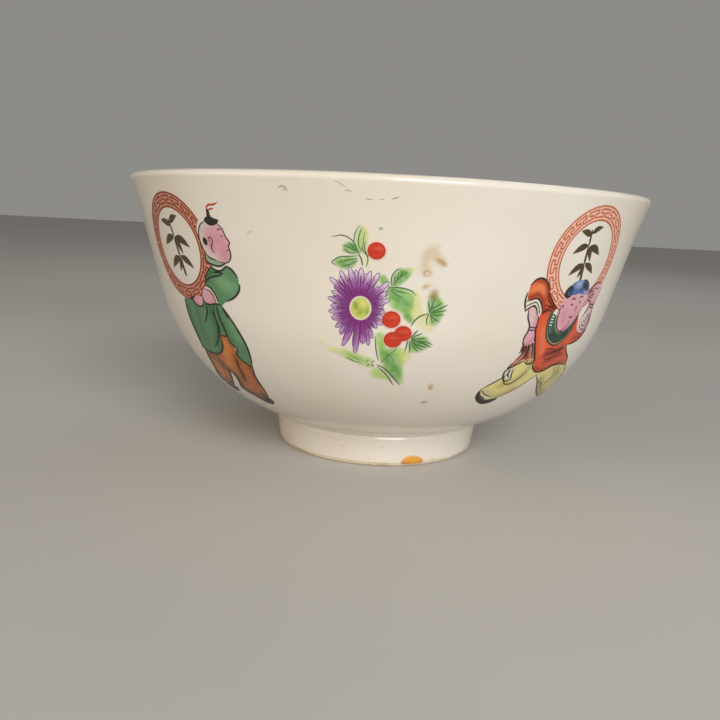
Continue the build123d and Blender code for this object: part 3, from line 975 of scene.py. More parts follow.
def bearer_trouser_lines(ink, trousers):
    ink.strokes(trousers.dark * DARKER, 2,
        (0.36, (-3.2, -10.9), (-3.7, -13.4), (-4.5, -15.7), (-5.7, -17.9), (-6.3, -19.8)),
        (0.34, (-1.6, -19.6), (0.3, -17.3), (2.2, -14.7), (2.7, -16.0), (2.1, -17.9), (1.2, -19.6),
         (2.6, -21.0), (4.8, -21.7)),
        (0.24, (0.4, -11.2), (1.0, -12.8), (2.2, -14.6)),
        (0.26, (6.9, -11.2), (6.0, -13.2), (5.9, -15.0), (4.9, -16.8)),
        (0.30, (10.2, -12.4), (9.3, -14.6), (8.9, -17.0), (8.5, -19.0), (7.6, -21.0)),
    )


def bearer_lines(name, azimuth, trousers):
    ink = Film()
    bearer_face(ink)
    bearer_outlines(ink)
    bearer_trouser_lines(ink, trousers)
    ink.build(f"{name}_lines", azimuth, "black_enamel")


def bearer(name, coat, trousers, ground, line):
    """A boy walking to the right with a medallion held behind him in both hands."""
    azimuth = BOYS[name]
    medallion(name, azimuth, (-1.5, 10.1), ground, line, 0.36, (-1.7, 9.9))
    bearer_head(name, azimuth)
    bearer_hands(name, azimuth)
    bearer_coat(name, azimuth, coat)
    bearer_trousers(name, azimuth, trousers)
    bearer_shoes(name, azimuth)
    bearer_ribbon(name, azimuth)
    bearer_lines(name, azimuth, trousers)


def runner_head(name, azimuth):
    head = Film()
    head.fill(outline((
        (-5.1, 2.8), (-4.9, 4.8), (-3.4, 6.2), (-0.6, 6.4), (1.4, 5.8), (2.2, 4.6), (2.1, 3.0), (1.5, 1.6),
        (0.8, 0.2), (-0.4, -1.2), (-2.1, -1.9), (-3.7, -1.5), (-4.7, 0.2),
    )), SKIN, 3, shades=(
        (SKIN_PALE, 1.2, 0.6, ((0.4, 5.6), (1.6, 4.8))),
        (SKIN_DEEP, 0.9, 0.45, ((-3.4, 1.6), (-3.0, 0.4))),
        (SKIN_DEEP, 0.6, 0.5, ((0.4, 1.6), (-0.6, -0.2), (-2.0, -1.2))),
    ))
    head.build_node(f"{name}_head", azimuth, "rose_enamel")


def runner_cap(name, azimuth):
    cap = Film()
    cap.fill(outline((
        (-4.3, 5.2), (-4.1, 6.6), (-2.9, 7.6), (-1.2, 7.9), (0.6, 7.5), (1.8, 6.4), (2.1, 5.2), (0.8, 5.1),
        (-0.8, 5.4), (-2.6, 5.1),
    )), CAP_BLUE, 4, shades=(
        (CAP_PALE, 0.7, 0.8, ((-2.2, 7.0), (-1.4, 7.2))),
        (CAP_DARK, 0.6, 0.7, ((0.2, 6.4), (-0.6, 6.0))),
        (CAP_LILAC, 0.6, 0.7, ((1.0, 5.4), (1.8, 5.4))),
        (CAP_DEEP, 0.8, 0.6, ((-2.4, 6.0), (-1.6, 5.6))),
    ))
    cap.build(f"{name}_cap", azimuth, "blue_enamel")


def runner_hands(name, azimuth):
    """Both bare forearms and hands, with the cuff of the raised one."""
    arms = Film()
    arms.fill(outline((
        (-12.6, 2.4), (-12.2, 0.8), (-11.2, -0.8), (-11.1, -1.8), (-11.4, -3.2), (-10.8, -4.6), (-9.6, -4.6),
        (-8.8, -3.8), (-9.1, -2.6), (-9.6, -1.4), (-9.6, -0.2), (-9.9, 1.2), (-11.2, 2.6),
    )), SKIN, 2, shades=(
        (SKIN_PALE, 0.6, 0.8, ((-11.6, 1.8), (-10.9, -0.4))),
        (SKIN_DEEP, 0.6, 0.5, ((-9.9, 0.8), (-10.2, -0.8))),
        (SKIN_DEEP, 0.5, 0.6, ((-9.4, -3.2), (-10.0, -4.4))),
    ))
    arms.fill(outline(
        ((2.1, 5.6), (3.8, 6.7), (5.4, 7.1), (7.0, 6.9), (7.4, 5.6), (6.8, 4.2), (6.4, 2.1)),
        ((4.6, 2.0), (4.7, 3.0), (3.8, 3.9), (2.3, 3.5), (2.0, 4.4)),
    ), SKIN, 2, shades=(
        (SKIN_PALE, 0.7, 0.5, ((6.2, 4.4), (6.2, 6.2))),
        (SKIN_DEEP, 0.5, 0.8, ((2.8, 5.2), (4.2, 5.4), (5.0, 4.6))),
    ))
    arms.fill(outline(
        ((4.6, 2.0), (5.5, 2.2), (6.4, 2.1)),
        ((6.9, 0.8), (7.4, -0.8), (7.0, -2.2), (5.6, -2.9), (3.8, -2.4), (2.4, -0.8), (2.9, 0.6), (4.2, 1.6)),
    ), CUFF, 2, shades=(
        (CREAM, 0.7, 0.8, ((4.2, 0.8), (3.4, -0.6))),
        (SKIN_DEEP, 0.6, 0.5, ((6.8, 0.6), (7.0, -1.4), (5.4, -2.6))),
    ))
    arms.build_node(f"{name}_hands", azimuth, "rose_enamel")


def runner_collar(name, azimuth):
    collar = Film()
    collar.fill(outline(
        ((-6.9, 2.3), (-7.0, 0.6), (-6.5, -1.4), (-5.4, -3.0), (-3.9, -4.0), (-2.3, -4.3), (-0.8, -3.7),
         (0.5, -2.2)),
        ((1.6, 1.2), (0.6, 0.7), (-0.6, -0.6), (-1.9, -1.8), (-3.3, -2.1), (-4.5, -1.0), (-5.1, 0.8)),
    ), COLLAR_GREEN, 2, shades=(
        (COLLAR_DARK, 0.7, 0.85, ((-4.6, -2.4), (-2.6, -3.4), (-0.6, -2.4))),
        (COLLAR_DARK, 0.5, 0.6, ((0.2, -0.6), (1.0, 0.8))),
        (COLLAR_PALE, 0.35, 0.5, ((-6.6, -0.4), (-5.8, -2.2))),
    ))
    collar.build_node(f"{name}_collar", azimuth, "green_enamel")


def runner_tunic(name, azimuth, tunic):
    """A short tunic, with the sash's end under the lowered hand."""
    cloth = Film()
    cloth.fill(outline(
        ((-9.6, 0.9), (-9.3, -1.6), (-8.2, -3.8), (-6.9, -6.6)),
        ((-5.4, -9.4), (-3.6, -10.5), (-1.6, -10.5), (0.9, -9.5), (3.4, -9.4)),
        ((6.9, -10.3), (5.4, -8.5), (2.9, -6.6)),
        ((1.6, -4.9), (3.6, -4.8), (5.8, -4.2), (7.1, -2.9)),
        ((7.2, -1.8), (5.6, -2.7), (3.8, -2.2), (2.6, -0.7)),
        ((1.8, 1.2), (-2.0, 1.0), (-6.4, 1.6)),
        ((-5.8, 2.7), (-6.9, 3.4), (-8.1, 4.4)),
        ((-9.4, 5.9), (-10.6, 7.3), (-11.9, 7.8), (-13.1, 7.4), (-13.8, 6.3), (-13.7, 4.6)),
        ((-13.5, 3.9), (-12.7, 4.0), (-11.7, 4.4), (-10.4, 3.6), (-9.5, 2.0)),
    ), tunic.base, 1, shades=(
        (tunic.light, 0.9, 0.85, ((-12.8, 5.8), (-11.6, 6.4), (-10.6, 5.4))),
        (tunic.light, 0.8, 0.5, ((-7.6, -1.4), (-5.2, -6.2))),
        (tunic.dark, 0.5, 0.8, ((-12.6, 7.6), (-10.8, 7.2), (-9.2, 5.2))),
        (tunic.dark, 0.6, 0.9, ((-9.0, 4.8), (-7.2, 3.8), (-6.2, 2.4))),
        (tunic.dark, 0.5, 0.8, ((-13.2, 4.3), (-11.6, 5.0), (-9.8, 3.6), (-9.0, 2.0))),
        (tunic.dark, 0.5, 0.8, ((-8.4, 2.2), (-6.9, 3.0))),
        (tunic.dark, 0.8, 1.0, ((0.6, -5.8), (-1.2, -6.2), (-3.6, -6.6))),
        (tunic.dark, 0.5, 0.8, ((2.0, -7.0), (-0.4, -7.8), (-2.6, -8.4))),
        (tunic.dark, 0.6, 0.7, ((3.2, -3.8), (5.8, -3.6))),
        (tunic.dark, 0.5, 0.7, ((-4.8, -9.8), (-1.6, -10.2), (1.0, -9.3), (4.6, -9.2))),
    ))
    cloth.fill(outline((
        (-10.4, -4.0), (-8.9, -3.9), (-8.0, -4.6), (-6.8, -6.6), (-6.2, -8.0), (-7.3, -8.4), (-8.8, -7.6),
        (-10.0, -8.4), (-11.2, -9.3), (-11.0, -7.8), (-10.3, -6.4), (-11.0, -5.4),
    )), SASH, 0, shades=(
        (SASH_PALE, 0.35, 0.9, ((-8.4, -5.0), (-7.2, -7.8))),
        (SASH_PALE, 0.35, 0.8, ((-10.0, -6.4), (-10.5, -8.4))),
        (SASH_DARK, 0.3, 0.9, ((-9.4, -4.6), (-8.8, -7.0))),
        (SASH_DARK, 0.35, 0.8, ((-10.6, -4.6), (-10.2, -5.8))),
    ), grain=0.4)
    cloth.build_node(f"{name}_tunic", azimuth, tunic.slot)


def runner_trousers(name, azimuth, trousers):
    """Wide trousers, with the sash's knot at the hip."""
    legs = Film()
    legs.fill(outline(
        ((-8.9, -7.7), (-10.2, -9.0), (-10.8, -11.0), (-11.0, -11.6)),
        ((-12.8, -13.4), (-14.1, -14.7)),
        ((-14.0, -15.6), (-12.4, -16.9), (-10.4, -17.4), (-8.2, -16.7), (-5.8, -15.0), (-4.0, -13.1)),
        ((-2.4, -11.6), (-0.2, -13.4), (2.9, -16.3), (6.6, -18.7), (10.4, -20.4)),
        ((12.0, -20.8), (13.2, -18.8)),
        ((12.8, -17.2), (10.9, -14.2), (9.2, -12.3), (7.3, -10.2), (3.6, -9.2), (-2.0, -9.8), (-6.0, -7.6)),
    ), trousers.base, 0, shades=(
        (trousers.dark, 0.8, 0.5, ((-6.0, -8.6), (-7.4, -12.4), (-10.4, -13.6))),
        (trousers.dark, 0.7, 0.6, ((3.0, -10.4), (4.6, -12.8), (4.2, -15.0))),
        # painted shade: a dark band along the right leg's lower edge
        (trousers.dark, 0.9, 0.8, ((0.2, -13.0), (4.2, -16.6), (9.0, -19.4), (12.2, -20.4))),
        (trousers.dark, 0.7, 0.6, ((6.4, -12.0), (7.6, -14.6), (6.8, -17.4))),
        (trousers.dark, 0.7, 0.5, ((-12.6, -15.4), (-9.4, -16.6), (-6.4, -14.6))),
        (CREAM, 0.7, 0.7, ((-12.8, -15.8), (-10.8, -16.8))),
    ))
    knot = (
        (-10.6, -8.9), (-11.6, -10.2), (-11.2, -11.6), (-10.2, -12.4), (-9.4, -12.0), (-9.8, -10.8),
        (-10.0, -9.6),
    )
    legs.fill(outline(knot), CREAM, 1, grain=0.4)
    legs.build_node(f"{name}_trousers", azimuth, trousers.slot)


def runner_shoes(name, azimuth):
    feet = Film()
    feet.fill(outline((
        (-14.1, -15.2), (-12.8, -16.7), (-11.0, -17.5), (-9.2, -17.3), (-8.2, -17.2), (-9.0, -18.4),
        (-10.6, -18.8), (-12.6, -17.9), (-13.8, -16.6),
    )), INK, 1, grain=0.4)
    feet.fill(outline((
        (11.7, -20.8), (13.1, -18.8), (14.2, -18.9), (14.0, -20.6), (13.1, -21.8), (12.2, -21.7),
    )), INK, 1)
    feet.build_node(f"{name}_shoes", azimuth, "black_enamel")


def runner_face(ink):
    """Two tufts of hair, and the soft lines of the face and the raised arm."""
    ink.fill(outline((
        (-5.1, 5.1), (-4.7, 6.4), (-3.7, 6.9), (-3.0, 6.1), (-3.1, 5.0), (-4.1, 4.5),
    )), INK, 4, grain=0.35)
    ink.fill(outline((
        (-0.9, 7.1), (-0.4, 8.0), (0.6, 7.8), (1.6, 7.0), (1.9, 6.0), (1.1, 5.9), (0.2, 6.4),
    )), INK, 4, grain=0.35)
    ink.strokes(INK_SOFT, 4,
        (0.26, (-2.7, 4.2), (-2.0, 4.5), (-1.3, 4.2)),
        (0.26, (-0.2, 4.5), (0.4, 4.8), (1.1, 4.6)),
        (0.20, (-0.5, 3.2), (-0.1, 2.3), (-0.6, 2.0)),
        (0.30, (-1.6, 1.0), (-1.0, 0.8), (-0.4, 1.1)),
        (0.16, (-1.4, 0.1), (-0.9, 0.0)),
        (0.20, (-4.7, 1.6), (-5.0, 2.5), (-4.5, 3.2), (-4.1, 2.6)),
        (0.22, (-5.0, 2.6), (-4.7, 0.2), (-3.7, -1.5), (-2.1, -2.0), (-0.4, -1.2), (0.8, 0.2), (1.6, 1.6),
         (2.1, 3.2)),
        (0.22, (2.1, 5.6), (3.8, 6.7), (5.4, 7.2), (7.0, 6.9)),
        (0.20, (2.2, 5.0), (3.4, 5.6), (4.4, 5.6)),
        (0.20, (3.0, 4.4), (4.2, 5.0), (5.0, 4.8)),
        (0.18, (4.6, 6.4), (5.6, 5.9), (6.4, 6.2)),
        (0.20, (2.2, 3.5), (3.6, 3.9), (4.7, 3.2), (4.3, 1.7), (3.0, 0.6)),
        (0.22, (7.4, 5.8), (6.8, 4.2), (6.5, 2.6), (6.9, 0.8), (7.4, -0.8), (7.1, -2.1), (5.6, -3.0),
         (3.8, -2.5)),
        (0.20, (6.5, 0.9), (6.8, -0.8), (6.1, -2.1), (4.8, -2.0), (3.3, -0.9)),
        (0.18, (5.9, 1.1), (6.1, -0.4), (5.5, -1.3), (4.6, -1.2), (3.8, -0.3)),
        (0.16, (5.2, 1.2), (5.4, 0.2), (5.0, -0.5), (4.4, -0.1)),
        (0.16, (2.4, 5.4), (3.4, 6.0), (4.6, 6.2)),
        (0.16, (3.0, 4.0), (3.9, 4.4), (4.8, 4.2)),
        (0.30, (5.0, 3.0), (6.5, 2.8)),
        (0.26, (5.0, 2.4), (6.4, 2.2)),
    )
    ink.strokes(INK, 5, (0.42, (-2.2, 3.3), (-1.7, 3.3)), (0.40, (0.2, 3.7), (0.6, 3.7)))


def runner_trim(ink):
    """The collar's pale edges and ticks, and the sleeve's cream cuff."""
    ink.strokes(COLLAR_PALE, 3,
        (0.18, (-7.0, 2.2), (-7.1, 0.5), (-6.6, -1.5), (-5.5, -3.1), (-3.9, -4.2), (-2.2, -4.5), (-0.7, -3.8),
         (0.6, -2.3)),
        (0.20, (-5.2, 2.4), (-5.2, 0.8), (-4.5, -1.0), (-3.3, -2.0), (-1.9, -1.8), (-0.6, -0.7)),
    )
    ink.strokes(CREAM, 3,
        (0.36, (-13.5, 2.9), (-12.5, 3.6), (-11.6, 3.9), (-10.5, 3.1), (-9.7, 1.7)),
        (0.30, (-13.1, 2.4), (-12.3, 3.0), (-11.6, 3.3), (-10.7, 2.5), (-10.1, 1.4)),
        *((0.22, (-6.6, up), (-5.7, up - 0.12)) for up in (1.7, 1.15, 0.6, 0.05, -0.5)),
    )


def runner_outlines(ink):
    ink.strokes(INK, 4,
        (0.22, (-7.1, 2.4), (-7.2, 0.5), (-6.7, -1.6), (-5.6, -3.3), (-3.9, -4.4), (-2.2, -4.7), (-0.6, -4.0),
         (0.8, -2.3), (1.7, 1.0)),
        (0.14, (-6.7, 2.2), (-6.8, 0.6), (-6.3, -1.3), (-5.2, -2.8), (-3.8, -3.8), (-2.3, -4.1), (-0.9, -3.5),
         (0.3, -2.1)),
        (0.18, (-5.0, 1.0), (-4.3, -0.9), (-3.2, -1.8), (-1.9, -1.5), (-0.7, -0.4)),
        (0.14, (-1.4, -2.2), (-0.6, -3.0)), (0.14, (-0.8, -1.6), (0.1, -2.3)),
        (0.14, (-0.2, -1.0), (0.7, -1.5)),
        # shoulder, sleeve and its cuff
        (0.26, (-9.2, 5.8), (-10.6, 7.4), (-11.9, 7.9), (-13.1, 7.5), (-13.9, 6.4)),
        (0.24, (-14.0, 5.2), (-14.0, 4.2), (-13.8, 3.2), (-13.2, 1.8)),
        (0.24, (-13.6, 3.6), (-12.6, 4.0), (-11.6, 4.3), (-10.3, 3.5), (-9.3, 1.8)),
        (0.14, (-13.4, 2.7), (-12.4, 3.3), (-11.6, 3.6), (-10.6, 2.8), (-9.9, 1.5)),
        (0.24, (-13.2, 1.8), (-12.4, 2.7), (-11.6, 2.9), (-10.8, 2.2), (-10.3, 1.2)),
        # lowered forearm and hand
        (0.22, (-12.6, 2.2), (-12.2, 0.8), (-11.2, -0.8), (-11.1, -1.8), (-11.4, -3.2), (-11.0, -4.6)),
        (0.22, (-9.9, 1.2), (-9.6, -0.2), (-9.6, -1.4), (-9.1, -2.6), (-8.7, -3.8)),
        (0.18, (-11.2, -0.9), (-10.4, -1.1), (-9.6, -1.0)),
        (0.18, (-11.2, -1.4), (-10.4, -1.6), (-9.6, -1.5)),
        # sash and its knot
        (0.24, (-11.1, -4.0), (-10.5, -5.4), (-10.9, -6.2)),
        (0.22, (-10.4, -4.2), (-9.9, -5.4), (-10.6, -7.6)),
        (0.24, (-9.7, -4.2), (-9.2, -5.4), (-9.2, -7.0)),
        (0.20, (-9.0, -3.9), (-8.2, -5.2), (-7.4, -7.2)),
        (0.26, (-8.2, -4.2), (-6.9, -6.4), (-6.0, -8.2), (-7.3, -8.6), (-8.8, -7.8)),
        (0.24, (-8.8, -7.8), (-10.2, -8.8), (-11.5, -9.6), (-11.2, -8.4)),
        (0.24, (-10.4, -9.0), (-11.7, -10.2), (-11.2, -11.7), (-10.2, -12.6), (-9.3, -12.0), (-9.8, -10.8),
         (-10.1, -9.6)),
        (0.24, (-10.9, -9.8), (-10.6, -10.9), (-9.9, -11.7)),
        # side of the tunic and the neck
        (0.24, (-9.6, 0.8), (-9.4, -1.6), (-8.3, -3.9), (-7.0, -6.6)),
        (0.20, (-7.2, 2.0), (-8.0, 2.3), (-9.4, 1.6)),
    )


def runner_cloth_lines(ink, tunic):
    """Folds and edges of the tunic, and then of the trousers."""
    ink.strokes(tunic.dark * DARK, 4,
        (0.26, (-9.3, 5.7), (-8.1, 4.3), (-6.9, 3.3), (-5.8, 2.7)),
        (0.22, (-9.0, 3.2), (-7.8, 2.9), (-6.6, 2.5)),
        (0.22, (-9.0, 4.4), (-8.0, 3.5), (-6.8, 2.9)),
        (0.28, (-6.1, -8.2), (-5.2, -9.6), (-3.6, -10.6), (-1.6, -10.7), (0.9, -9.7), (3.4, -9.6),
         (6.9, -10.4)),
        (0.24, (6.9, -10.4), (5.4, -8.4), (3.0, -6.5), (1.7, -4.9)),
        (0.26, (1.7, -4.9), (3.6, -4.9), (5.8, -4.3), (7.2, -2.9), (7.3, -1.8)),
        (0.18, (1.4, -5.6), (-0.6, -6.1), (-2.2, -6.6)),
        (0.18, (0.8, -6.4), (-1.6, -7.6), (-3.4, -7.8)),
        (0.16, (-4.4, -5.6), (-3.0, -5.4), (-1.4, -5.8)),
    )
    ink.strokes(TROUSER_INK, 2,
        (0.24, (-10.4, -9.4), (-10.9, -11.2), (-12.8, -13.3), (-14.1, -14.8)),
        (0.30, (-14.1, -14.8), (-13.2, -16.2), (-11.2, -17.3)),
        (0.22, (-9.0, -17.2), (-8.2, -16.7), (-5.8, -15.0), (-4.0, -13.1), (-2.4, -11.6)),
        (0.22, (-10.9, -11.6), (-9.8, -13.2), (-8.2, -13.2), (-6.9, -11.6), (-6.2, -10.2)),
        (0.26, (-2.6, -11.4), (-0.2, -13.5), (2.9, -16.4), (6.6, -18.8), (10.4, -20.5), (12.0, -20.9)),
        (0.22, (7.1, -10.4), (9.2, -12.2), (10.9, -14.1), (12.8, -17.2), (13.2, -18.6)),
        (0.18, (-13.8, -14.8), (-12.2, -16.0), (-10.4, -16.6)),
        (0.18, (4.4, -10.2), (5.4, -12.6), (4.8, -14.8)),
        (0.18, (0.4, -13.6), (2.4, -14.6), (3.6, -16.2)),
    )


def runner_lines(name, azimuth, tunic):
    ink = Film()
    runner_face(ink)
    runner_trim(ink)
    runner_outlines(ink)
    runner_cloth_lines(ink, tunic)
    ink.build(f"{name}_lines", azimuth, "black_enamel")


def runner(name, tunic, trousers, ground, line):
    """A boy running, who looks over his shoulder and holds a medallion up behind his head."""
    azimuth = BOYS[name]
    medallion(name, azimuth, (-1.8, 11.55), ground, line, 0.30, (-2.8, 12.3), 0.9)
    runner_head(name, azimuth)
    runner_cap(name, azimuth)
    runner_hands(name, azimuth)
    runner_collar(name, azimuth)
    runner_tunic(name, azimuth, tunic)
    runner_trousers(name, azimuth, trousers)
    runner_shoes(name, azimuth)
    runner_lines(name, azimuth, tunic)


SALMON, SALMON_LINE = paint("#F0B49A"), paint("#B4624A")
BRICK, BRICK_LINE = paint("#CC8464"), paint("#8A3820")

GREEN_COAT = Cloth(paint("#55875E"), paint("#2F5A38"), paint("#82AC7E"), "green_enamel")
AMBER_TROUSERS = Cloth(paint("#B8692C"), paint("#54300F"), paint("#DB8A3A"), "amber_enamel")
BLUE_COAT = Cloth(paint("#4B6A9E"), paint("#2A3F6B"), paint("#7E98C4"), "blue_enamel")
STRAW_TROUSERS = Cloth(paint("#D2C377"), paint("#9C8A40"), paint("#E6DC9C"), "yellow_enamel")
ORANGE_TUNIC = Cloth(paint("#D9552E"), paint("#6E1C08"), paint("#EC8854"), "orange_enamel")
YELLOW_TROUSERS = Cloth(paint("#E0D48C"), paint("#958648"), None, "yellow_enamel")
PURPLE_TUNIC = Cloth(paint("#84508C"), paint("#4A2752"), paint("#B088B6"), "purple_enamel")
GREEN_TROUSERS = Cloth(paint("#7FA67A"), paint("#4C7350"), None, "green_enamel")

bearer("front_left", GREEN_COAT, AMBER_TROUSERS, BRICK, BRICK_LINE)
bearer("back_right", BLUE_COAT, STRAW_TROUSERS, SALMON, SALMON_LINE)
runner("front_right", ORANGE_TUNIC, YELLOW_TROUSERS, SALMON, SALMON_LINE)
runner("back_left", PURPLE_TUNIC, GREEN_TROUSERS, BRICK, BRICK_LINE)


# ---------------------------------------------------------------- the flower sprays

ASTER_CENTRE = (-3.45, 2.05)
LEAF, LEAF_DARK = paint("#93C455"), paint("#4F9A34")
LEAF_PALE, LEAF_YELLOW = paint("#A5C87E", 0.9), paint("#D6D68C", 0.85)
BUD_BROWN, BUD_DARK = paint("#A8934A", 0.9), paint("#96783E", 0.9)
WASH_STRAW = paint("#DDD08A", 0.8)
VEIN = paint("#486B4A")
STEM = paint("#566049")
PETAL, PETAL_PALE, PETAL_DEEP = paint("#A868AC"), paint("#E0D0DF"), paint("#7D1E6E")
PETAL_LINE = paint("#6E447C")
BERRY, BERRY_DARK, BERRY_HALO = paint("#CB391F"), paint("#932A18"), paint("#E7A596", 0.75)
# A painted highlight, laid across each berry's upper side
BERRY_HIGHLIGHT = paint("#D8604A")
BERRIES = ((-1.3, 11.8, 1.42), (1.65, 0.35, 1.5), (3.7, -2.1, 1.42), (2.1, -3.3, 1.5))

# Petals from the back row to the front one: (count, reach, width, first bearing, colour, tip colour)
PETAL_ROWS = (
    (26, 0.90, 1.30, 0, PETAL, PETAL_PALE),
    (25, 1.02, 1.25, 6, PETAL, PETAL_PALE),
    (27, 0.72, 0.72, 9, paint("#94409A"), paint("#A867AC")),
    (20, 0.52, 0.74, 2, paint("#82287A"), paint("#86307F")),
)
ASTER_STREAKS = 58
ASTER_HAIRLINES = 64
PETAL_ROOT = 1.1
PALE_BEARING = 75
DISC, DISC_EDGE, DISC_LIT = paint("#C2C765"), paint("#D9CFB4"), paint("#E6E484")
DISC_MOSS, DISC_OLIVE, DISC_GREEN = paint("#6E9038"), paint("#7E9A38"), paint("#6E9A40")
ASTER_OUTLINE = (
    (-3.9, 8.6), (-6.2, 8.2), (-8.2, 7.0), (-8.5, 3.6), (-8.2, 0.4), (-7.3, -2.0), (-6.2, -4.0), (-5.1, -5.4),
    (-2.9, -5.7), (-1.6, -4.2), (-1.0, -2.3), (0.0, 0.2), (0.6, 2.7), (0.2, 6.2), (-1.6, 8.0),
)

# Leaf washes: (colour, deep colour, fading edge, line of the deep colour, outline)
LEAF_WASHES = (
    (LEAF_YELLOW, LEAF, 0.5, ((-4.2, 12.0), (-4.4, 14.4)),
     ((-3.6, 11.0), (-4.7, 12.6), (-4.7, 14.6), (-3.7, 16.0), (-2.6, 15.0), (-2.5, 12.8))),
    (LEAF, LEAF_DARK, 0.5, ((-4.4, 11.8), (-5.6, 12.2)),
     ((-3.9, 11.0), (-4.4, 12.8), (-5.6, 13.2), (-6.8, 12.4), (-6.7, 11.2), (-5.2, 10.8))),
    (LEAF, LEAF_DARK, 0.6, ((-5.0, 9.6), (-6.4, 9.2)),
     ((-3.9, 10.4), (-5.4, 10.8), (-7.4, 10.4), (-8.4, 9.4), (-6.8, 8.2), (-4.8, 8.6))),
    (LEAF_YELLOW, LEAF_YELLOW, 0.8, ((-2.6, 12.0), (-2.4, 10.0)),
     ((-3.0, 14.8), (-2.4, 12.0), (-2.0, 9.4), (-2.8, 8.8), (-3.6, 11.0))),
    (LEAF, LEAF_DARK, 0.5, ((1.8, 6.8), (3.2, 8.4)),
     ((1.2, 5.9), (1.2, 7.4), (2.2, 9.0), (4.8, 9.3), (4.2, 7.4), (2.8, 6.2))),
    (LEAF_YELLOW, LEAF_YELLOW, 0.7, ((4.4, 9.0), (4.5, 8.8)),
     ((3.5, 9.2), (5.1, 9.6), (5.0, 8.5), (3.9, 8.1))),
    (LEAF, LEAF_DARK, 0.5, ((0.4, 7.0), (0.9, 6.2)),
     ((-1.2, 7.6), (0.2, 8.2), (1.1, 7.0), (1.0, 5.8), (-0.2, 6.0))),
    (LEAF, LEAF_DARK, 0.7, ((1.6, 5.4), (2.6, 3.8), (3.8, 3.0)),
     ((0.4, 5.6), (1.6, 6.4), (3.8, 6.0), (5.4, 4.8), (5.6, 2.8), (5.0, 0.6), (3.2, 1.2), (1.4, 2.2),
      (0.6, 3.8))),
    (LEAF, LEAF_DARK, 0.5, ((4.4, 0.8), (4.8, 0.4)),
     ((3.2, 1.6), (5.2, 1.4), (5.6, 0.0), (4.6, -0.4), (3.6, 0.4))),
    (LEAF_YELLOW, LEAF_YELLOW, 1.2, ((6.2, 2.0), (7.4, -0.6)),
     ((5.2, 5.2), (6.8, 4.4), (7.4, 2.2), (9.0, 0.6), (9.4, -1.2), (7.8, -2.4), (6.0, -1.4), (5.0, 0.4),
      (4.8, 3.0))),
    (LEAF, LEAF_DARK, 0.9, ((8.2, 4.0), (8.4, 2.4), (8.8, 0.6)),
     ((7.3, 0.8), (7.0, 3.2), (7.7, 5.4), (9.2, 4.9), (10.5, 3.0), (10.4, 0.9), (9.2, -0.9), (7.8, -0.8))),
    (BUD_BROWN, BUD_DARK, 1.2, ((7.8, 5.2), (8.6, 5.0)),
     ((7.0, 3.9), (7.3, 5.7), (8.5, 6.3), (9.5, 5.4), (9.2, 3.9), (8.1, 3.3))),
    (LEAF, LEAF_DARK, 0.8, ((5.6, -3.6), (7.0, -4.0)),
     ((4.4, -4.4), (4.8, -2.4), (6.8, -2.0), (8.6, -3.2), (8.6, -4.6), (7.0, -5.8), (5.2, -6.0))),
    (LEAF_YELLOW, LEAF_YELLOW, 1, ((5.8, 3.4), (5.8, 1.4)),
     ((4.6, 6.0), (5.9, 5.6), (6.5, 3.4), (6.2, 0.8), (5.2, -0.6), (4.4, 1.4), (4.8, 3.6))),
    (LEAF_PALE, LEAF, 0.6, ((0.2, -3.4), (0.6, -6.4)),
     ((-1.0, -2.2), (0.6, -1.8), (1.2, -4.4), (1.6, -7.2), (0.4, -8.0), (-0.5, -5.6))),
    (LEAF, LEAF_DARK, 0.8, ((1.0, -6.4), (2.2, -8.4), (2.8, -10.6)),
     ((-0.3, -5.0), (1.6, -4.6), (3.4, -4.4), (4.9, -5.2), (4.5, -8.4), (4.4, -12.9), (2.6, -12.0),
      (0.9, -9.8), (0.0, -7.6))),
    (LEAF_YELLOW, LEAF_YELLOW, 0.9, ((4.4, -6.0), (4.6, -7.0)),
     ((3.0, -4.6), (5.2, -5.0), (5.8, -6.6), (4.6, -8.4), (3.2, -7.0))),
    (LEAF_YELLOW, LEAF, 0.8, ((-1.8, -8.0), (-3.4, -7.4), (-5.2, -6.8)),
     ((-0.4, -7.4), (-2.8, -6.2), (-5.6, -5.4), (-8.3, -5.5), (-8.9, -6.2), (-6.4, -7.5), (-3.4, -9.0),
      (-0.8, -9.4))),
    (WASH_STRAW, LEAF_YELLOW, 0.8, ((-8.0, -5.8), (-7.6, -5.8)),
     ((-6.6, -5.3), (-8.5, -5.4), (-9.1, -6.2), (-7.2, -6.9))),
    (LEAF_YELLOW, LEAF, 0.8, ((0.0, -9.8), (1.0, -10.8)),
     ((-0.8, -8.6), (-1.9, -10.4), (-1.0, -11.6), (0.8, -11.9), (2.6, -12.2), (1.2, -9.4))),
    (LEAF_YELLOW, LEAF_YELLOW, 0.6, ((-9.5, -4.9), (-9.4, -4.9)),
     ((-10.4, -4.6), (-9.4, -4.0), (-8.8, -5.0), (-9.8, -5.6))),
    (LEAF, LEAF_DARK, 0.3, ((-1.0, 15.4), (-0.6, 15.3)),
     ((-1.4, 15.5), (-0.7, 15.8), (-0.2, 15.3), (-0.9, 15.0))),
)

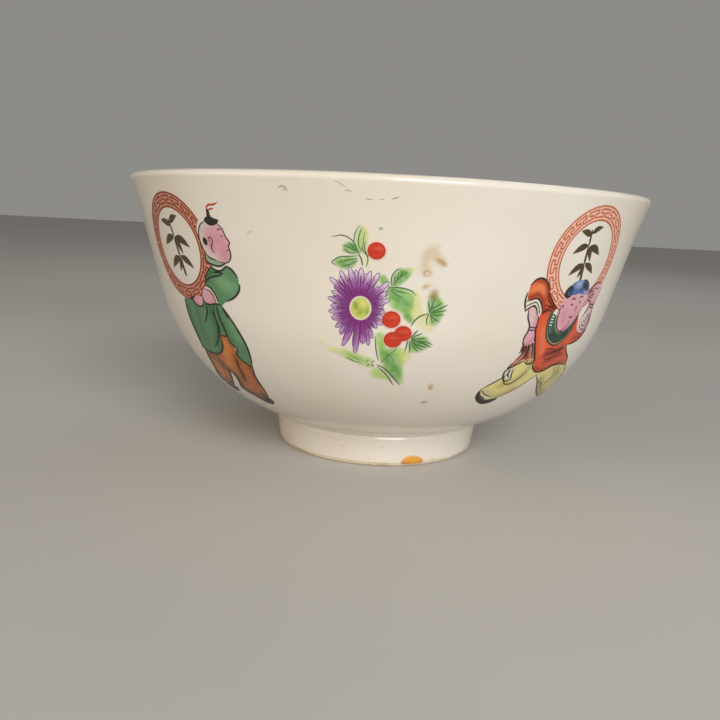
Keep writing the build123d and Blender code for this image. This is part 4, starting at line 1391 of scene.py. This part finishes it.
# Leaf veins: (width, points)
VEINS = (
    # upper left leaves
    (0.13, (-3.8, 11.2), (-4.8, 12.6), (-4.7, 14.6), (-4.0, 15.8)),
    (0.13, (-3.7, 11.4), (-4.2, 13.0), (-3.8, 15.4)), (0.11, (-3.5, 11.6), (-3.4, 13.2), (-3.3, 14.6)),
    (0.16, (-4.0, 11.2), (-5.2, 11.9), (-6.6, 12.4)),
    (0.14, (-4.4, 12.2), (-5.4, 13.4), (-6.8, 13.9), (-8.4, 13.5)),
    (0.14, (-4.6, 11.2), (-5.6, 11.2), (-6.4, 11.7)), (0.14, (-4.3, 11.6), (-5.2, 12.4), (-5.6, 12.8)),
    (0.16, (-4.0, 10.8), (-5.6, 10.6), (-7.2, 10.3), (-8.3, 9.3), (-7.6, 9.0)),
    (0.13, (-4.2, 10.4), (-6.0, 9.9), (-7.4, 9.4)), (0.13, (-4.2, 10.0), (-5.6, 9.2), (-6.8, 8.8)),
    (0.20, (-4.1, 11.2), (-3.6, 10.2), (-3.4, 9.2)),
    (0.16, (-2.8, 9.0), (-2.6, 10.4), (-3.2, 12.2), (-3.0, 13.2)),
    (0.14, (-3.8, 12.2), (-3.0, 11.2), (-2.4, 10.8)), (0.14, (-2.6, 11.0), (-2.2, 11.6)),
    # upper right leaf
    (0.16, (1.4, 6.1), (1.3, 7.6), (2.0, 8.8), (2.8, 9.2)),
    (0.16, (1.6, 6.2), (2.4, 7.4), (3.8, 8.6)),
    (0.12, (1.8, 6.8), (1.8, 8.0)), (0.12, (2.2, 7.2), (2.4, 8.4)), (0.12, (2.6, 7.6), (3.0, 8.6)),
    # broad leaf
    (0.18, (0.9, 5.8), (2.6, 5.9), (4.6, 5.4), (5.4, 4.6)),
    (0.14, (1.4, 5.6), (2.8, 5.2), (4.2, 4.9)), (0.14, (1.2, 5.4), (2.4, 4.6), (3.4, 4.2)),
    (0.12, (1.2, 6.2), (0.6, 5.0), (0.6, 3.8)),
    # right bud on its stalk
    (0.22, (4.9, -0.8), (5.5, 0.3), (6.4, 1.1), (7.7, 1.5)),
    (0.20, (7.7, 1.6), (8.2, 2.4), (9.0, 2.9), (9.8, 3.4)), (0.20, (7.9, 1.7), (9.2, 2.2), (10.7, 3.0)),
    (0.20, (7.9, 1.6), (9.2, 1.8), (10.6, 2.0)), (0.18, (7.9, 1.5), (9.0, 1.2), (10.2, 1.3)),
    (0.18, (7.8, 1.6), (7.6, 2.8), (7.4, 3.8)), (0.18, (7.9, 1.8), (8.2, 3.2), (8.4, 4.2)),
    (0.18, (7.7, 1.5), (7.4, 0.4), (7.6, -0.6)), (0.16, (8.0, 1.4), (8.6, 0.6), (9.6, 0.0)),
    (0.16, (7.9, 1.4), (8.2, 0.6), (8.4, -0.2)),
    # fan of needles
    (0.26, (4.9, -2.6), (5.6, -3.3), (7.0, -3.8), (8.6, -4.7)),
    (0.22, (5.2, -3.0), (6.4, -3.0), (7.6, -2.9)), (0.20, (5.0, -2.8), (5.7, -2.0), (6.2, -1.4)),
    (0.20, (5.2, -2.8), (6.0, -2.4), (6.9, -2.0)), (0.22, (5.2, -3.3), (6.2, -4.2), (7.8, -4.7)),
    (0.20, (5.1, -3.4), (5.7, -4.6), (6.4, -5.6)), (0.20, (4.9, -3.4), (5.0, -4.8), (5.0, -5.9)),
    (0.18, (4.6, -3.2), (4.4, -4.6), (4.2, -5.6)), (0.18, (6.0, -3.4), (7.4, -3.6), (8.8, -4.2)),
    (0.18, (5.4, -3.6), (6.4, -4.8), (7.2, -5.2)),
    # lower leaves
    (0.18, (0.3, -7.9), (1.4, -6.6), (2.4, -5.4), (2.9, -4.7)),
    (0.16, (-0.8, -2.8), (-0.6, -5.2), (-0.1, -7.6)),
    (0.20, (-1.8, -8.0), (-3.6, -7.4), (-5.2, -6.6)), (0.16, (-2.4, -8.3), (-4.2, -8.0), (-5.6, -7.4)),
    (0.14, (-2.6, -7.4), (-4.0, -6.8)), (0.14, (-3.0, -7.9), (-4.4, -7.3)),
    (0.14, (1.2, -5.8), (2.2, -7.0), (2.6, -8.4)), (0.14, (3.0, -8.8), (3.4, -10.6)),
)

STEMS = (
    (0.26, (-0.4, -8.4), (0.8, -9.0), (2.4, -10.8), (3.8, -12.8)),
    (0.24, (-0.2, -8.8), (0.8, -9.8), (1.8, -11.2), (2.7, -12.9)),
    (0.24, (-2.0, -7.5), (-1.5, -8.2), (-0.8, -7.6)), (0.24, (-2.0, -8.9), (-1.4, -8.3), (-0.8, -8.9)),
)
STEM_GLINT = (0.34, (-1.8, -7.8), (-1.4, -8.3), (-1.0, -7.9))


def petal(root, length, width, direction, bend):
    """A narrow petal that widens to a rounded tip."""
    along = 1 - (1 - np.linspace(0, 1, 16)) ** 1.8
    half = width / 2 * (0.4 + 0.6 * along) * (1 - along**5) ** 0.7
    left, right = sides(root, along, length, half, direction, bend)
    return np.vstack((right, left[-2::-1]))


def spray_leaves(name, azimuth):
    """Loose washes of green and yellow, each a little higher than the one before."""
    leaves = Film()
    for order, (colour, deep, fade, heart, points) in enumerate(LEAF_WASHES):
        shades = ((deep, 1.4, 0.95, heart),)
        leaves.fill(outline(points), colour, order * 0.08, shades=shades, fade=fade, patchy=0.3, grain=0.42)
    leaves.build_node(f"{name}_spray_leaves", azimuth, "leaf_green_enamel")
    return leaves


def spray_veins(name, azimuth):
    veins = Film()
    veins.strokes(VEIN, 1.5, *VEINS)
    veins.strokes(STEM, 1.6, *STEMS)
    veins.strokes(CREAM, 1.8, STEM_GLINT)
    veins.build(f"{name}_spray_veins", azimuth, "green_enamel")


def aster(name, azimuth):
    """Rows of petals around a centre, with drawn edges and streaks."""
    blossom = Film()
    centre = np.array(ASTER_CENTRE)
    rays = outline(ASTER_OUTLINE) - centre
    bearings, reaches = np.degrees(np.arctan2(rays[:, 1], rays[:, 0])), np.hypot(*rays.T)

    def reach_at(angle):
        return np.interp(angle, bearings, reaches, period=360)

    for row, (count, share, width, first, body, tip_colour) in enumerate(PETAL_ROWS):
        for number in range(count):
            angle = first + 360 * number / count + 5 * noise.noise((number * 1.7, row * 4.1, 0.5))
            uneven = 1 + 0.28 * noise.noise((number * 2.3, row + 0.4, 7.7))
            length = reach_at(angle) * share * uneven - PETAL_ROOT
            root = centre + polar(PETAL_ROOT, angle)
            loop = petal(root, length, width, angle, 0.30 * noise.noise((number, 9.2, row)))
            tip, heart = tuple(root + polar(length, angle)), tuple(root)
            paleness = np.interp(cos(radians(angle - PALE_BEARING)), (-0.9, 0.2), (0.4, 1.0))
            blossom.fill(loop, body, row * 0.7, shades=(
                (tip_colour, 1.7, paleness, (tip,)), (PETAL_DEEP, 2.4, 0.95, (heart,)),
            ), grain=0.45)
            blossom.stroke(np.vstack((loop, loop[:1])), 0.12, PETAL_LINE, row * 0.7 + 0.5, taper=0)
    for number in range(ASTER_STREAKS):
        angle = 360 * number / ASTER_STREAKS + 6 * noise.noise((number * 1.3, 5.5, 2.5))
        reach = reach_at(angle) * (0.74 + 0.36 * noise.noise((number * 3.7, 1.5, 8.5)))
        path = curve(tuple(centre + polar(1.6, angle)), tuple(centre + polar(reach, angle)))
        blossom.stroke(path, 0.16, PETAL_DEEP, 2.8, taper=0.9)
    for number in range(ASTER_HAIRLINES):
        angle = 360 * number / ASTER_HAIRLINES + 4 * noise.noise((number * 2.1, 3.5, 6.5))
        reach = reach_at(angle) * (0.88 + 0.16 * noise.noise((number * 1.9, 7.5, 4.5)))
        path = curve(tuple(centre + polar(reach * 0.45, angle)), tuple(centre + polar(reach, angle)))
        blossom.stroke(path, 0.09, PETAL_LINE, 2.8, taper=0.5)
    blossom.build_node(f"{name}_spray_blossom", azimuth, "purple_enamel")


def aster_disc(name, azimuth):
    disc = Film()
    disc.fill(oval(ASTER_CENTRE, 1.8, 2.1), DISC_EDGE, 3.3)
    disc.fill(oval(ASTER_CENTRE, 1.5, 1.75), DISC, 3.8, shades=(
        (DISC_MOSS, 0.45, 0.8, ((-4.25, 2.65), (-4.15, 2.15))),
        (DISC_OLIVE, 0.35, 0.8, ((-3.35, 1.45), (-3.75, 1.15))),
        (DISC_GREEN, 0.35, 0.7, ((-2.35, 1.95), (-2.35, 1.35))),
        (DISC_LIT, 0.5, 0.8, ((-2.95, 2.85),)),
    ), grain=0.3)
    disc.build(f"{name}_spray_disc", azimuth, "yellow_enamel")


def spray_berries(name, azimuth, leaves):
    berries = Film(below=leaves)
    for x, y, radius in BERRIES:
        berries.fill(oval((x, y), radius + 0.4, radius + 0.4), BERRY_HALO, 1, fade=0.45, grain=0.4)
    for x, y, radius in BERRIES:
        rim = tuple(tuple((x, y) + polar(radius, turn)) for turn in range(0, 361, 30))
        berries.fill(oval((x, y), radius, radius * 0.98), BERRY, 2, shades=(
            (BERRY_DARK, 0.20, 0.6, rim), (BERRY_DARK, 0.25, 0.4, ((x - 0.7, y - 0.3), (x + 0.2, y - 0.1))),
            # painted highlight across the berry's upper side
            (BERRY_HIGHLIGHT, 0.22, 0.7, ((x - 0.2, y + 0.3), (x + 0.4, y + 0.45), (x + 0.8, y + 0.3))),
        ), grain=0.34)
    berries.build_node(f"{name}_spray_berries", azimuth, "berry_red_enamel")


def spray(name, azimuth):
    """An aster with four berries among loosely washed leaves."""
    leaves = spray_leaves(name, azimuth)
    spray_veins(name, azimuth)
    aster(name, azimuth)
    aster_disc(name, azimuth)
    spray_berries(name, azimuth, leaves)


for place_around, azimuth_around in SPRAYS.items():
    spray(place_around, azimuth_around)


# ---------------------------------------------------------------- wear

STAIN_PALE, STAIN_TAN = paint("#CDBB93", 0.95), paint("#C2A465")
STAIN_OCHRE, STAIN_BROWN = paint("#B48745"), paint("#8E6238")
STAIN_GREEN, STAIN_GAP = paint("#CFCB8E", 0.7), paint("#E6E0D2")
FOOT_ORANGE, FOOT_BROWN, FOOT_LIT = paint("#DE9310"), paint("#B5690F"), paint("#E9A92C")
SCUFF_GREY, SCUFF_TAN = paint("#6F6A58", 0.6), paint("#A08A58", 0.5)
FOOT_STAIN_AZIMUTH = 21.0

# Tea stains beside the front spray: (across, up, radius across, radius up, turn, colour)
TEA_STAINS = (
    (7.1, 11.6, 2.6, 2.0, 50, STAIN_PALE),
    (8.8, 10.6, 2.1, 1.5, -35, STAIN_PALE),
    (6.6, 9.2, 1.6, 1.7, 0, STAIN_PALE),
    (9.1, 10.2, 1.3, 0.7, -42, STAIN_OCHRE),
    (6.9, 8.4, 1.1, 1.0, 0, STAIN_OCHRE),
    (7.0, 6.3, 1.3, 0.9, 30, STAIN_PALE),
    (6.8, 6.2, 0.7, 0.5, 30, STAIN_TAN),
    (8.2, 5.0, 1.0, 0.8, 20, STAIN_OCHRE),
    (9.3, -13.2, 1.0, 1.1, 10, STAIN_TAN),
    (9.2, -13.9, 0.45, 0.45, 0, STAIN_BROWN),
    (8.5, -17.4, 0.9, 0.6, 10, STAIN_BROWN),
    (-9.7, -4.9, 1.0, 0.7, 20, STAIN_GREEN),
)

# Specks on the foot ring: (around, up, radius)
FOOT_SPECKS = (
    (-14.6, 3.9, 0.35), (-9.2, 1.7, 0.3), (-6.6, 4.4, 0.4), (4.9, 1.1, 0.5), (8.3, 3.6, 0.3),
    (-17.9, 2.2, 0.4),
)

stains = Film()
for x, y, radius_x, radius_y, turn, colour in TEA_STAINS:
    edge = min(radius_x, radius_y)
    stains.fill(oval((x, y), radius_x, radius_y, turn), colour, 0.3, fade=edge, patchy=0.4, grain=0.2)
stains.fill(oval((6.9, 8.4), 0.45, 0.4), STAIN_GAP, 0.5, fade=0.3, grain=0.15)
stains.build("tea_stains", SPRAYS["front"], "amber_enamel")

foot_stain = Film()
foot_stain.fill(outline((
    (-2.7, 1.0), (-2.5, 0.3), (-1.2, 0.15), (1.2, 0.15), (2.5, 0.3), (2.8, 1.1), (2.2, 1.9), (0.9, 2.5),
    (-0.7, 2.6), (-2.0, 2.1),
)), FOOT_ORANGE, 0, shades=(
    (FOOT_BROWN, 0.5, 0.8, ((-2.3, 0.7), (0.4, 0.4), (2.4, 0.7))),
    (FOOT_LIT, 0.7, 0.7, ((-0.9, 1.5), (1.0, 1.4))),
), fade=0.55, patchy=0.1, grain=0.2)
for x, y, radius in FOOT_SPECKS:
    foot_stain.fill(oval((x, y), radius, radius * 0.8), STAIN_TAN, 0, fade=radius, grain=0.12)
foot_stain.build("foot_stain", FOOT_STAIN_AZIMUTH, "amber_enamel", surface=lay_on_foot)

scuffs = Film()
scuffs.strokes(SCUFF_GREY, 0,
    (0.26, (-17.0, 20.3), (-16.4, 20.6), (-15.9, 20.5), (-15.5, 19.9)),
    (0.14, (-16.4, 20.2), (-15.9, 19.9)),
    (0.16, (-6.6, 20.9), (-6.0, 21.0), (-5.5, 20.8)),
    (0.14, (-3.4, 20.0), (-2.7, 19.8), (-2.2, 19.9)),
    (0.12, (-1.2, 19.9), (-0.4, 20.0)),
    (0.20, (0.6, 20.1), (1.2, 20.2), (1.7, 20.5)),
)
scuffs.strokes(SCUFF_TAN, 0,
    (0.14, (-8.4, 22.4), (-7.4, 22.0), (-6.2, 21.3)),
    (0.14, (-22.6, 11.4), (-22.2, 12.2), (-21.4, 12.6)),
)
scuffs.build("rim_scuffs", SPRAYS["front"], "black_enamel")


# ---------------------------------------------------------------- floor, lights and camera

FLOOR_REACH = 4.0
FLOOR_DARK, FLOOR_PALE = paint("#B9B7B3"), paint("#C1BFBB")
AIM = Vector((0, 0, 0.03))
WORLD_COLOUR, WORLD_STRENGTH = (1.0, 0.965, 0.91, 1), 0.27

# Square soft lights: (name, place, side, watts, colour)
LIGHTS = (
    ("key", (0.22, -0.68, 0.36), 0.40, 4.9, (1.0, 0.985, 0.96)),
    ("fill", (-0.60, -0.35, 0.26), 0.50, 1.0, (1.0, 0.80, 0.58)),
    ("back", (0.30, 0.60, 0.65), 0.50, 0.6, (1.0, 1.0, 1.0)),
)

CAMERA_PLACE = (0.0, -0.1656, 0.0493)
CAMERA_YAW, CAMERA_PITCH, CAMERA_ROLL = radians(-1.53), radians(10.68), radians(2.86)
LENS = SENSOR = 36
NEAREST = 0.005


def pale_floor():
    mesh = bpy.data.meshes.new("floor")
    corners = ((-1, -1), (1, -1), (1, 1), (-1, 1))
    mesh.from_pydata([(x * FLOOR_REACH, y * FLOOR_REACH, 0) for x, y in corners], [], [(0, 1, 2, 3)])
    floor = bpy.data.objects.new("floor", mesh)
    bpy.context.scene.collection.objects.link(floor)
    look = Look("floor")
    look.shade("Base Color", look.ramp(look.noise(6, detail=4), (0.3, FLOOR_DARK), (0.7, FLOOR_PALE)))
    look.shader.inputs["Roughness"].default_value = 0.8
    mesh.materials.append(look.material)


def soft_light(name, where, side, power, colour):
    lamp = bpy.data.lights.new(name, "AREA")
    lamp.size = side
    lamp.energy = power
    lamp.color = colour
    holder = bpy.data.objects.new(name, lamp)
    holder.location = where
    holder.rotation_euler = (AIM - Vector(where)).to_track_quat("-Z", "Y").to_euler()
    bpy.context.scene.collection.objects.link(holder)


def soft_sky():
    world = bpy.data.worlds.new("studio")
    bpy.context.scene.world = world
    world.use_nodes = True
    background = world.node_tree.nodes["Background"]
    background.inputs["Color"].default_value = WORLD_COLOUR
    background.inputs["Strength"].default_value = WORLD_STRENGTH


def camera_turn():
    """The camera's axes, from its yaw and pitch and then its roll."""
    level = cos(CAMERA_PITCH)
    ahead = Vector((sin(CAMERA_YAW) * level, cos(CAMERA_YAW) * level, -sin(CAMERA_PITCH)))
    level_right = Vector((cos(CAMERA_YAW), -sin(CAMERA_YAW), 0))
    level_up = level_right.cross(ahead)
    right = cos(CAMERA_ROLL) * level_right + sin(CAMERA_ROLL) * level_up
    top = -sin(CAMERA_ROLL) * level_right + cos(CAMERA_ROLL) * level_up
    return Matrix((right, top, -ahead)).transposed().to_4x4()


def front_camera():
    lens = bpy.data.cameras.new("camera")
    lens.lens, lens.sensor_width = LENS, SENSOR
    lens.clip_start = NEAREST
    camera = bpy.data.objects.new("camera", lens)
    camera.matrix_world = Matrix.Translation(CAMERA_PLACE) @ camera_turn()
    bpy.context.scene.collection.objects.link(camera)
    bpy.context.scene.camera = camera


pale_floor()
for light in LIGHTS:
    soft_light(*light)
soft_sky()
front_camera()
bpy.context.scene.view_settings.view_transform = "Standard"
